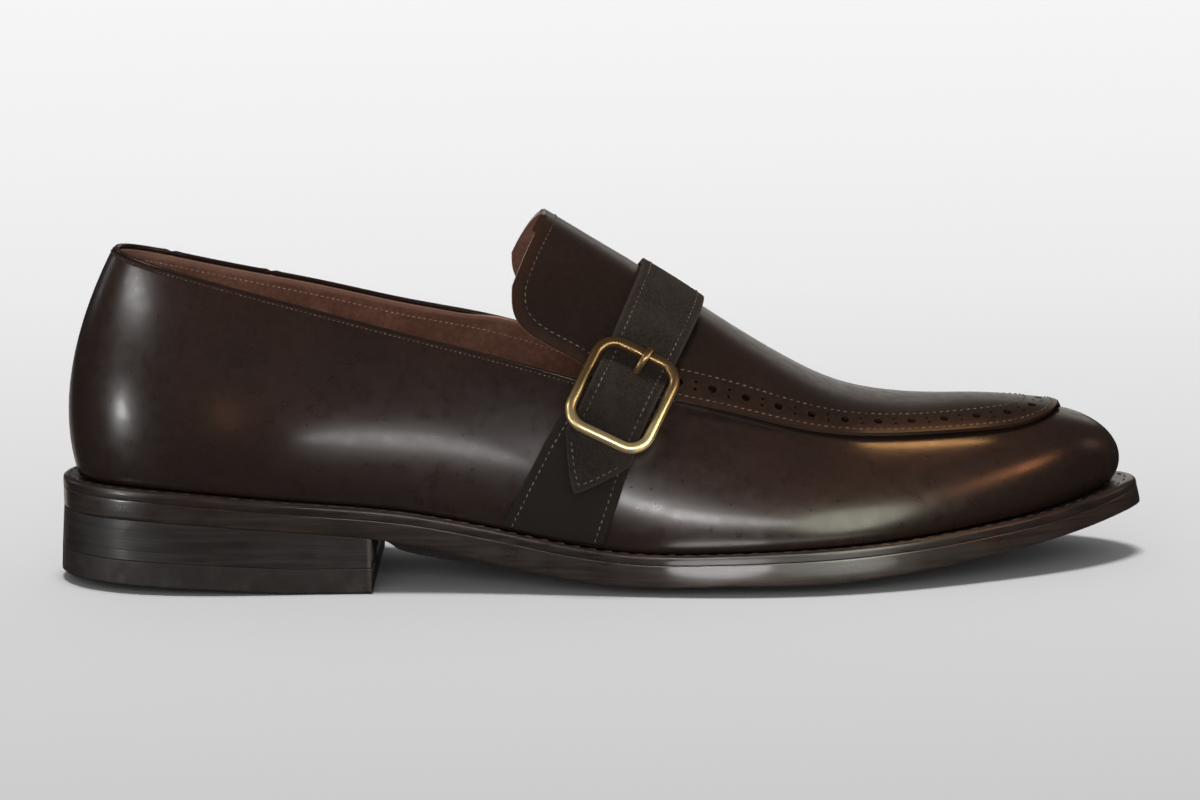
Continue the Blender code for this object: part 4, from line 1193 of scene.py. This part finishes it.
def make_sole():
    stations = np.linspace(0.0, ROWS - 1.0, (ROWS - 1) * SECTION_STEPS + 1)
    sole = block("leather_outsole", stations, stations, lambda plan, bed: WELT_THICK + JOINT,
                 tread, SOLE_PROFILE)
    sole.data.materials.append(SOLE_EDGE)
    sole.data.materials.append(TREAD)
    for face in sole.data.polygons:
        face.material_index = int(face.normal.z < TREAD_FACING)
    dress(sole, "outsole")

    heel = [np.linspace(0.0, 1.0, HEEL_STEPS) * station_at(HEEL_LENGTH, side) for side in (-1, 1)]
    flare = HEEL_FLARE * 0.7
    lifts = [(0.0, -0.1), (0.012, -0.01), (0.03, 0.0)]
    lifts += [(at + step, flare * (at + step) - groove)
              for at in (0.25, 0.5, 0.75) for step, groove in GROOVE]
    lifts += [(0.97, HEEL_FLARE * 0.68), (0.988, flare - 0.01), (1.0, flare - 0.08)]
    stack = block("heel_lifts", *heel, lambda plan, bed: edge_curve(plan[..., 0])[..., 0] + JOINT,
                  lambda plan, bed: heel_floor(plan, bed) - TOP_PIECE_THICK - JOINT, lifts)
    dress(stack, "heel_stack", HEEL_EDGE)
    low = [(0.0, flare - 0.1), (0.02, flare), (0.06, flare + 0.01), (0.9, HEEL_FLARE - 0.03),
           (0.95, HEEL_FLARE - 0.02), (1.0, HEEL_FLARE - 0.4)]
    top_piece = block("heel_top_piece_rubber", *heel,
                      lambda plan, bed: heel_floor(plan, bed) - TOP_PIECE_THICK, heel_floor, low)
    dress(top_piece, "heel_top_piece", TOP_PIECE)

    sock = block("leather_sock", stations, stations,
                 lambda plan, bed: -SEAT_GAP - INSOLE_THICK, lambda plan, bed: -SEAT_GAP,
                 SOCK_PROFILE, loop_curve(place(stations, -1))[:, MARGIN] + UPPER_WALL + 0.4)
    dress(sock, "insole", SOCK)


# ---------------------------------------------------------------- finishes

def dress(piece, node, finish=None):
    """Gives a piece its finish and its place in the frame."""
    if finish:
        piece.data.materials.clear()
        piece.data.materials.append(finish)
    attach(piece, "root")
    if node:
        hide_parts(node)


class Finish:
    """A material being built: its nodes are added one by one and plugged into the shader."""

    def __init__(self, name, **values):
        self.made = bpy.data.materials.new(name)
        self.made.use_nodes = True
        self.tree = self.made.node_tree
        self.shader = self.tree.nodes["Principled BSDF"]
        self.place = self.add("TexCoord").outputs["Object"]
        for socket, value in values.items():
            self.shader.inputs[socket.replace("_", " ")].default_value = value

    def set(self, socket, value):
        if hasattr(value, "is_output"):
            self.tree.links.new(value, socket)
        else:
            socket.default_value = value

    def add(self, kind, inputs=None, **settings):
        made = self.tree.nodes.new("ShaderNode" + kind)
        for key, value in settings.items():
            setattr(made, key, value)
        for key, value in (inputs or {}).items():
            self.set(made.inputs[key], value)
        return made

    def stretched(self, x, y, z):
        """The object's coordinates, drawn out or squeezed along each axis."""
        return self.add("Mapping", {"Vector": self.place, "Scale": (x, y, z)}).outputs["Vector"]

    def noise(self, scale, detail=3.0, rough=0.5, place=None, distortion=0.0):
        inputs = {"Vector": place or self.place, "Scale": scale, "Detail": detail,
                  "Roughness": rough, "Distortion": distortion}
        return self.add("TexNoise", inputs).outputs["Fac"]

    def between(self, value, low, high, to_low=0.0, to_high=1.0):
        """A value's range stretched to another one, and held at its ends."""
        inputs = {"Value": value, "From Min": low, "From Max": high, "To Min": to_low,
                  "To Max": to_high}
        return self.add("MapRange", inputs, interpolation_type="SMOOTHSTEP").outputs["Result"]

    def cloud(self, scale, detail, rough, low, high, to_low=0.0, to_high=1.0, **more):
        """Noise, its middle range stretched to another one."""
        return self.between(self.noise(scale, detail, rough, **more), low, high, to_low, to_high)

    def pebbles(self, scale):
        inputs = {"Vector": self.place, "Scale": scale}
        return self.add("TexVoronoi", inputs, feature="SMOOTH_F1").outputs["Distance"]

    def crown(self, low, high, most=1.0):
        """Where the surface stands out and gets rubbed."""
        pointed = self.add("NewGeometry").outputs["Pointiness"]
        return self.between(pointed, low, high, 0.0, most)

    def to_edge(self, low, high, at_edge):
        """A share that fades out away from the piece's cut edge, over millimetres."""
        mark = self.add("Attribute", attribute_name="to_edge").outputs["Fac"]
        return self.between(mark, low, high, at_edge, 0.0)

    def times(self, first, second):
        return self.add("Math", {0: first, 1: second}, operation="MULTIPLY").outputs["Value"]

    def plus(self, first, second):
        return self.add("Math", {0: first, 1: second}, operation="ADD").outputs["Value"]

    def blend(self, share, first, second, kind="MIX"):
        """A colour between two, or their product."""
        made = self.add("Mix", {"Factor": share}, data_type="RGBA", blend_type=kind)
        for index, value in ((6, first), (7, second)):
            self.set(made.inputs[index], (*value, 1.0) if isinstance(value, tuple) else value)
        return made.outputs[2]

    def speckled(self, tint, grey):
        grey = self.add("CombineColor", {0: grey, 1: grey, 2: grey}).outputs[0]
        return self.blend(1.0, tint, grey, "MULTIPLY")

    def bump(self, height, depth_mm, strength, under=None):
        inputs = {"Height": height, "Distance": depth_mm * MM, "Strength": strength}
        if under:
            inputs["Normal"] = under
        return self.add("Bump", inputs).outputs["Normal"]

    def plug(self, **ends):
        """Plugs the last nodes into the shader and hands over the material."""
        for socket, value in ends.items():
            self.tree.links.new(value, self.shader.inputs[socket.replace("_", " ")])
        return self.made


def polished_leather(name, dark, light, rough, burnished=None, polish=1.0):
    """Waxed calf: fine pebbled grain, cloudy polish, and a burnished band along a cut edge."""
    it = Finish(name, Coat_Weight=0.16 * polish, Coat_Roughness=0.16,
                Specular_IOR_Level=0.5 * polish)
    tint = it.blend(it.cloud(20.0, 2.0, 0.5, 0.3, 0.75), dark, light)
    tint = it.speckled(tint, it.cloud(700.0, 2.0, 0.5, 0.25, 0.8, 0.86, 1.08))
    if burnished:
        patchy = it.cloud(90.0, 3.0, 0.5, 0.35, 0.65, 0.55, 1.0)
        tint = it.blend(it.times(it.to_edge(1.2, 3.6, 1.0), patchy), tint, burnished)
    relief = it.plus(it.pebbles(1500.0), it.times(it.noise(420.0, 2.0), 0.8))
    normal = it.bump(it.noise(30.0, 1.0), 0.05, 0.25)
    return it.plug(Base_Color=it.blend(it.times(it.crown(0.515, 0.56), 0.5), tint, light),
                   Roughness=it.cloud(300.0, 2.0, 0.5, 0.2, 0.8, rough - 0.04, rough + 0.06),
                   Normal=it.bump(relief, 0.014, 0.3, normal),
                   Coat_Normal=it.bump(relief, 0.008, 0.2, normal))


def cut_leather(name, ink_and_sheen, sheen_flecks):
    """A cut edge: dark ink lightened to grey-green as painted sheen, with paler flecks of painted
    sheen on the fibres.
    """
    it = Finish(name, Specular_IOR_Level=0.12)
    fibre = it.noise(900.0, 4.0, 0.7)
    # Painted sheen: both tones are greyer and lighter than the dark ink's own colour.
    return it.plug(Base_Color=it.blend(it.between(fibre, 0.42, 0.72), ink_and_sheen, sheen_flecks),
                   Roughness=it.cloud(300.0, 3.0, 0.5, 0.3, 0.7, 0.66, 0.85),
                   Normal=it.bump(fibre, 0.12, 0.6))


def soft_lining(name, dark, light, rough=0.5):
    """Vegetable-tanned lining: matt, with open pores and rubbed lighter patches."""
    it = Finish(name, Specular_IOR_Level=0.4)
    tint = it.blend(it.cloud(34.0, 5.0, 0.6, 0.3, 0.7), dark, light)
    tint = it.speckled(tint, it.cloud(700.0, 3.0, 0.6, 0.35, 0.7, 0.82, 1.14))
    folds = it.bump(it.noise(75.0, 4.0, 0.55, it.stretched(1.6, 1.0, 0.6)), 0.5, 0.4)
    return it.plug(Base_Color=it.blend(it.crown(0.51, 0.56, 0.6), tint, light),
                   Roughness=it.cloud(160.0, 3.0, 0.5, 0.3, 0.7, rough - 0.08, rough + 0.12),
                   Normal=it.bump(it.pebbles(1150.0), 0.07, 0.45, folds))


def napped_suede(name, dark, light, tip):
    """Suede: short nap brushed in patches, tiny tufts, and a soft bloom at glancing angles."""
    it = Finish(name, Specular_IOR_Level=0.08, Sheen_Weight=0.06, Sheen_Roughness=0.5,
                Sheen_Tint=(0.62, 0.50, 0.42, 1.0))
    tufts = it.cloud(1500.0, 4.0, 0.75, 0.36, 0.66)
    tint = it.blend(it.cloud(58.0, 4.0, 0.6, 0.36, 0.66, distortion=0.6), dark, light)
    tint = it.blend(it.times(tufts, 0.55), tint, tip)
    nap = it.plus(it.noise(2300.0, 4.0, 0.7), it.times(it.noise(520.0, 3.0, 0.6), 0.8))
    return it.plug(Base_Color=it.blend(it.to_edge(0.2, 1.1, 0.5), tint, tip),
                   Roughness=it.between(tufts, 0.0, 1.0, 0.86, 0.98),
                   Normal=it.bump(nap, 0.22, 0.8))


def twisted_thread(name, dark, light):
    """Waxed thread: fine twist across it, darker where it dips between the plies."""
    it = Finish(name, Specular_IOR_Level=0.45)
    inputs = {"Vector": it.place, "Scale": 900.0, "Distortion": 2.0, "Detail": 2.0}
    ply = it.add("TexWave", inputs, wave_type="BANDS", bands_direction="DIAGONAL").outputs["Fac"]
    tint = it.blend(it.cloud(380.0, 3.0, 0.5, 0.3, 0.7), dark, light)
    return it.plug(Base_Color=it.blend(it.between(ply, 0.0, 0.5, 0.45, 0.0), tint, dark),
                   Roughness=it.cloud(800.0, 3.0, 0.5, 0.3, 0.7, 0.42, 0.62),
                   Normal=it.bump(ply, 0.05, 0.6))


def waxed_edge(name, dark, light, amber, rough=0.32, layers=900.0, wax=0.3):
    """Layered leather seen edge on: drawn-out fibre lines under hot wax, amber in patches."""
    it = Finish(name, Coat_Weight=wax, Coat_Roughness=0.2)
    lines = it.noise(layers, 3.0, 0.6, it.stretched(0.05, 0.05, 1.0))
    tint = it.blend(it.between(lines, 0.36, 0.66), dark, light)
    tint = it.blend(it.cloud(38.0, 4.0, 0.6, 0.62, 0.78, 0.0, 0.8), tint, amber)
    fibre = it.plus(lines, it.times(it.noise(800.0), 0.3))
    return it.plug(Base_Color=it.blend(it.crown(0.52, 0.6, 0.7), tint, amber),
                   Roughness=it.cloud(120.0, 4.0, 0.65, 0.25, 0.75, rough - 0.07, rough + 0.14),
                   Normal=it.bump(fibre, 0.06, 0.5, it.bump(it.noise(90.0), 0.25, 0.35)))


def moulded_rubber(name, dark, light):
    """The heel's wearing lift: fine moulded stipple, dust and scuffs."""
    it = Finish(name, Specular_IOR_Level=0.4)
    stipple = it.plus(it.noise(1600.0, 2.0), it.cloud(300.0, 4.0, 0.5, 0.45, 0.5, 0.0, 0.4))
    return it.plug(Base_Color=it.blend(it.cloud(110.0, 5.0, 0.7, 0.45, 0.8), dark, light),
                   Roughness=it.cloud(240.0, 3.0, 0.5, 0.3, 0.7, 0.42, 0.66),
                   Normal=it.bump(stipple, 0.08, 0.5))


# The height over which the buckle's brass colour goes from bright low down, a painted reflection,
# to darker above, painted shade.
BRASS_PAINTED_LIGHT = (0.043, 0.061)


def antique_brass(name, dark, bright):
    """Cast brass: a painted reflection bright low down, painted shade dark brown above, fine
    hairlines.
    """
    it = Finish(name, Metallic=0.84)
    height = it.add("SeparateXYZ", {"Vector": it.place}).outputs["Z"]
    # Painted light: the colour runs from bright brass low down, a painted reflection, to dark
    # brass higher up, painted shade.
    share = it.times(it.cloud(70.0, 2.0, 0.5, 0.35, 0.7, 0.7, 1.0),
                     it.between(height, *BRASS_PAINTED_LIGHT, 1.3, 0.08))
    hair = it.noise(1500.0, 3.0, 0.6, it.stretched(0.2, 1.0, 1.0))
    return it.plug(Base_Color=it.blend(share, dark, bright),
                   Roughness=it.cloud(160.0, 2.0, 0.5, 0.25, 0.75, 0.29, 0.35),
                   Normal=it.bump(hair, 0.003, 0.2))


def tread_leather(name, dark, light):
    """The sole's underside: smooth flesh-sealed leather with scuffs drawn along the walk."""
    it = Finish(name)
    scuff = it.cloud(220.0, 4.0, 0.7, 0.55, 0.72, 0.0, 0.55, place=it.stretched(0.25, 1.0, 1.0))
    tint = it.blend(it.cloud(30.0, 5.0, 0.6, 0.3, 0.7), dark, light)
    return it.plug(Base_Color=it.blend(scuff, tint, light),
                   Roughness=it.cloud(180.0, 4.0, 0.5, 0.3, 0.7, 0.38, 0.6),
                   Normal=it.bump(it.noise(900.0), 0.08, 0.5, it.bump(it.noise(60.0), 0.3, 0.3)))


POLISHED = polished_leather("polished_brown_calf", (0.0215, 0.0118, 0.009),
                            (0.032, 0.0165, 0.0115), 0.30)
APRON_CALF = polished_leather("burnished_apron_calf", (0.02, 0.012, 0.0088),
                              (0.031, 0.017, 0.0118), 0.32, (0.036, 0.0175, 0.01), 0.6)
CUT_EDGE = cut_leather("inked_edge_painted_sheen", (0.042, 0.038, 0.032), (0.12, 0.112, 0.092))
LINING = soft_lining("red_brown_lining", (0.215, 0.095, 0.06), (0.38, 0.195, 0.135))
SOCK = soft_lining("leather_sock", (0.11, 0.052, 0.03), (0.18, 0.095, 0.06), 0.55)
SUEDE = napped_suede("brown_suede", (0.015, 0.011, 0.009), (0.027, 0.02, 0.0155),
                     (0.052, 0.04, 0.032))
TAB_SUEDE = napped_suede("dark_brown_suede", (0.006, 0.0044, 0.0037), (0.0105, 0.0078, 0.0062),
                         (0.026, 0.02, 0.016))
THREAD, EDGE_THREAD, STRAP_THREAD, LINING_THREAD, WELT_THREAD = (
    twisted_thread(name, dark, light) for name, dark, light in (
        ("brown_thread", (0.05, 0.032, 0.025), (0.18, 0.125, 0.1)),
        ("edge_thread", (0.04, 0.027, 0.021), (0.19, 0.13, 0.105)),
        ("pale_brown_thread", (0.06, 0.04, 0.032), (0.22, 0.16, 0.13)),
        ("lining_thread", (0.42, 0.27, 0.2), (0.8, 0.58, 0.44)),
        ("welt_thread", (0.018, 0.0115, 0.009), (0.07, 0.048, 0.036))))
WELT = waxed_edge("waxed_welt", (0.018, 0.0112, 0.0095), (0.034, 0.0215, 0.0175),
                  (0.068, 0.038, 0.023))
SOLE_EDGE = waxed_edge("waxed_sole_edge", (0.023, 0.0145, 0.0115), (0.045, 0.0285, 0.022),
                       (0.078, 0.044, 0.027), wax=1.0)
HEEL_EDGE = waxed_edge("waxed_heel_lifts", (0.0165, 0.0118, 0.0105), (0.029, 0.0212, 0.0185),
                       (0.042, 0.027, 0.02), 0.46, 700.0, 0.08)
TREAD = tread_leather("sealed_tread_leather", (0.034, 0.02, 0.013), (0.062, 0.04, 0.027))
TOP_PIECE = moulded_rubber("rubber_top_piece", (0.029, 0.0215, 0.019), (0.052, 0.042, 0.036))
BRASS = antique_brass("antique_brass", (0.2, 0.11, 0.042), (0.95, 0.73, 0.37))

STRAP_LINES += [(offset, strap_course(offset)) for offset in np.linspace(-16.0, 16.0, 17)]
AXES = buckle_frame_axes()

make_upper()
make_apron()
make_strap()
make_tab()
make_buckle()
make_welt()
make_sole()

# ---------------------------------------------------------------- floor, light and camera


WHITE = (1.0, 1.0, 1.0)
FLOOR_NEAR = -0.4
FLOOR_FAR = 2.6
FLOOR_TONES = [(0.0, 0.485), (0.065, 0.57), (0.2, 0.71), (0.33, 0.81), (0.5, 0.865), (1.0, 0.93)]
ROOM_LIGHT = 0.25
ROOM_REFLECTION = 0.02
OVERHEAD_LIGHT = 0.70
BEHIND_LIGHT = 0.09
FILL_LIGHT = 2.2

# The light panels: name, the place on the shoe that mirrors it, turn, rise, width, height, how
# bright it looks, and where they differ from softbox's own, its colour and how far away it is.
PANELS = [
    ("quarter_card", (104, -37, 41), -13, -3, 62, 8, 6.6, WHITE, 35),
    ("heel_high", (26, -21, 85), -66, 31, 600, 140, 11),
    ("heel_low", (20, -26, 52), -61, -2, 66, 62, 35, WHITE, 420),
    ("heel_streak", (21, -22, 68), -71, 14, 30, 190, 1.4),
    ("heel_rim", (10, -6, 55), -158, -12, 300, 200, 0.4, (1, 0.86, 0.74), 700),
    ("warm_patch", (49, -33, 50), -11, 0, 12, 24, 2.2, (1, 0.42, 0.22), 100),
    ("vamp_left", (173, -45, 25), -13.5, 13.5, 46, 15, 22, WHITE, 110),
    ("vamp_middle", (184, -48, 20), 3, 18.5, 76, 24, 9, WHITE, 110),
    ("vamp_right", (212, -46, 21), 30, 13, 84, 92, 5.6, (0.95, 1, 0.82), 110),
    ("edge_left", (186, -54, 8), -12, -8, 34, 7, 5, WHITE, 12),
    ("edge_right", (214, -54, 8), 16, -8, 52, 7, 1.6, (0.97, 1, 0.93), 12),
    ("back_card", (190, -10, 60), 165, 16, 460, 400, 0.6, (1, 0.95, 0.86)),
    ("warm_top", (250, -31, 36), 194, 66, 40, 4.5, 10.5, (1, 0.52, 0.19), 20),
    ("warm_toe", (265, -28, 28), 54, 25, 44, 60, 9, (1, 0.38, 0.17), 200),
    ("toe_tip", (291, -12, 33), 105, 20, 120, 120, 0.6, (1, 0.64, 0.44), 300),
    ("far_side", (140, 40, 40), 182, 3, 700, 90, 1.3, WHITE, 800),
    ("far_heel", (20, 30, 50), -128, 20, 120, 220, 1, WHITE, 700),
]
EYE = (164.28, -1380.85, 268.57)
TARGET = (153.06, 0.0, 47.01)
ROLL = -1.212
LENS = 147.8
SENSOR = 36.0


def softbox(name, over, turn, rise, width, height, glow, colour=WHITE, away=1000.0,
            shape="ELLIPSE"):
    """A soft light panel that a place on the shoe mirrors; it shines on polish alone.

    turn is counted from the front towards the toe and rise from level, in degrees; sizes are in
    millimetres, and glow is how bright the panel looks.
    """
    turn, rise = math.radians(turn), math.radians(rise)
    line = np.array([math.sin(turn) * math.cos(rise), -math.cos(turn) * math.cos(rise),
                     math.sin(rise)])
    lamp = bpy.data.lights.new(name, "AREA")
    lamp.shape = shape
    lamp.size = width * MM
    lamp.size_y = height * MM
    rounding = 1.0 if shape == "RECTANGLE" else math.pi / 4.0
    lamp.energy = glow * math.pi * width * height * MM * MM * rounding
    lamp.color = colour
    box = new_object(name, lamp)
    box.location = put(np.array(over) + line * away)
    box.rotation_euler = Vector(-line).to_track_quat("-Z", "Y").to_euler()
    box.visible_diffuse = False
    box.visible_camera = False
    return box


def sky(name, spread, glow, tilt=0.0):
    """A broad soft light from above, tilted away from the camera; polish doesn't mirror it."""
    lamp = bpy.data.lights.new(name, "SUN")
    lamp.angle = math.radians(spread)
    lamp.energy = glow * math.pi
    made = new_object(name, lamp)
    made.rotation_euler = (math.radians(tilt), 0.0, 0.0)
    made.visible_glossy = False


def lay_floor():
    """A pale floor without an edge; its tone follows the distance from the camera."""
    deselect()
    bpy.ops.mesh.primitive_plane_add(size=12.0, location=(0.0, 3.0, -0.0002))
    sheet = bpy.context.object
    bpy.ops.object.transform_apply(location=True, rotation=False, scale=False)
    sheet.name = "pale_floor"
    stone = Finish("pale_floor", Roughness=0.9, Specular_IOR_Level=0.0)
    away = stone.add("SeparateXYZ", {"Vector": stone.place}).outputs["Y"]
    inputs = {"Value": away, "From Min": FLOOR_NEAR, "From Max": FLOOR_FAR}
    share = stone.add("MapRange", inputs).outputs["Result"]
    tones = stone.add("ValToRGB", {"Fac": share})
    marks = tones.color_ramp.elements
    marks.remove(marks[0])
    for spot, tone in FLOOR_TONES:
        mark = marks.new(spot) if spot else marks[0]
        mark.position, mark.color = spot, (tone, tone, tone, 1.0)
    sheet.data.materials.append(stone.plug(Base_Color=tones.outputs["Color"]))
    sheet.visible_glossy = False


def light_room():
    """A dim even room, dimmer still where polish mirrors it."""
    world = bpy.data.worlds.new("studio")
    bpy.context.scene.world = world
    world.use_nodes = True
    tree = world.node_tree
    background = tree.nodes["Background"]
    background.inputs["Color"].default_value = (*WHITE, 1.0)
    ray = tree.nodes.new("ShaderNodeLightPath")
    level = tree.nodes.new("ShaderNodeMapRange")
    level.inputs["To Min"].default_value = ROOM_LIGHT
    level.inputs["To Max"].default_value = ROOM_REFLECTION
    tree.links.new(ray.outputs["Is Glossy Ray"], level.inputs["Value"])
    tree.links.new(level.outputs["Result"], background.inputs["Strength"])


def set_camera():
    data = bpy.data.cameras.new("camera")
    data.lens = LENS
    data.sensor_width = SENSOR
    camera = new_object("camera", data)
    eye = Vector(put(EYE))
    view = (Vector(put(TARGET)) - eye).to_track_quat("-Z", "Y").to_matrix().to_4x4()
    roll = Matrix.Rotation(math.radians(ROLL), 4, "Z")
    camera.matrix_world = Matrix.Translation(eye) @ view @ roll
    bpy.context.scene.camera = camera


lay_floor()
light_room()
bpy.context.scene.view_settings.view_transform = "Standard"
sky("overhead", 18.0, OVERHEAD_LIGHT)
sky("behind", 60.0, BEHIND_LIGHT, -52.0)
fill = softbox("front_fill", (150.0, 0.0, 40.0), -5.0, 14.0, 1300.0, 800.0, FILL_LIGHT,
               away=1500.0, shape="RECTANGLE")
fill.visible_diffuse = True
fill.visible_glossy = False
for panel in PANELS:
    softbox(*panel)
set_camera()
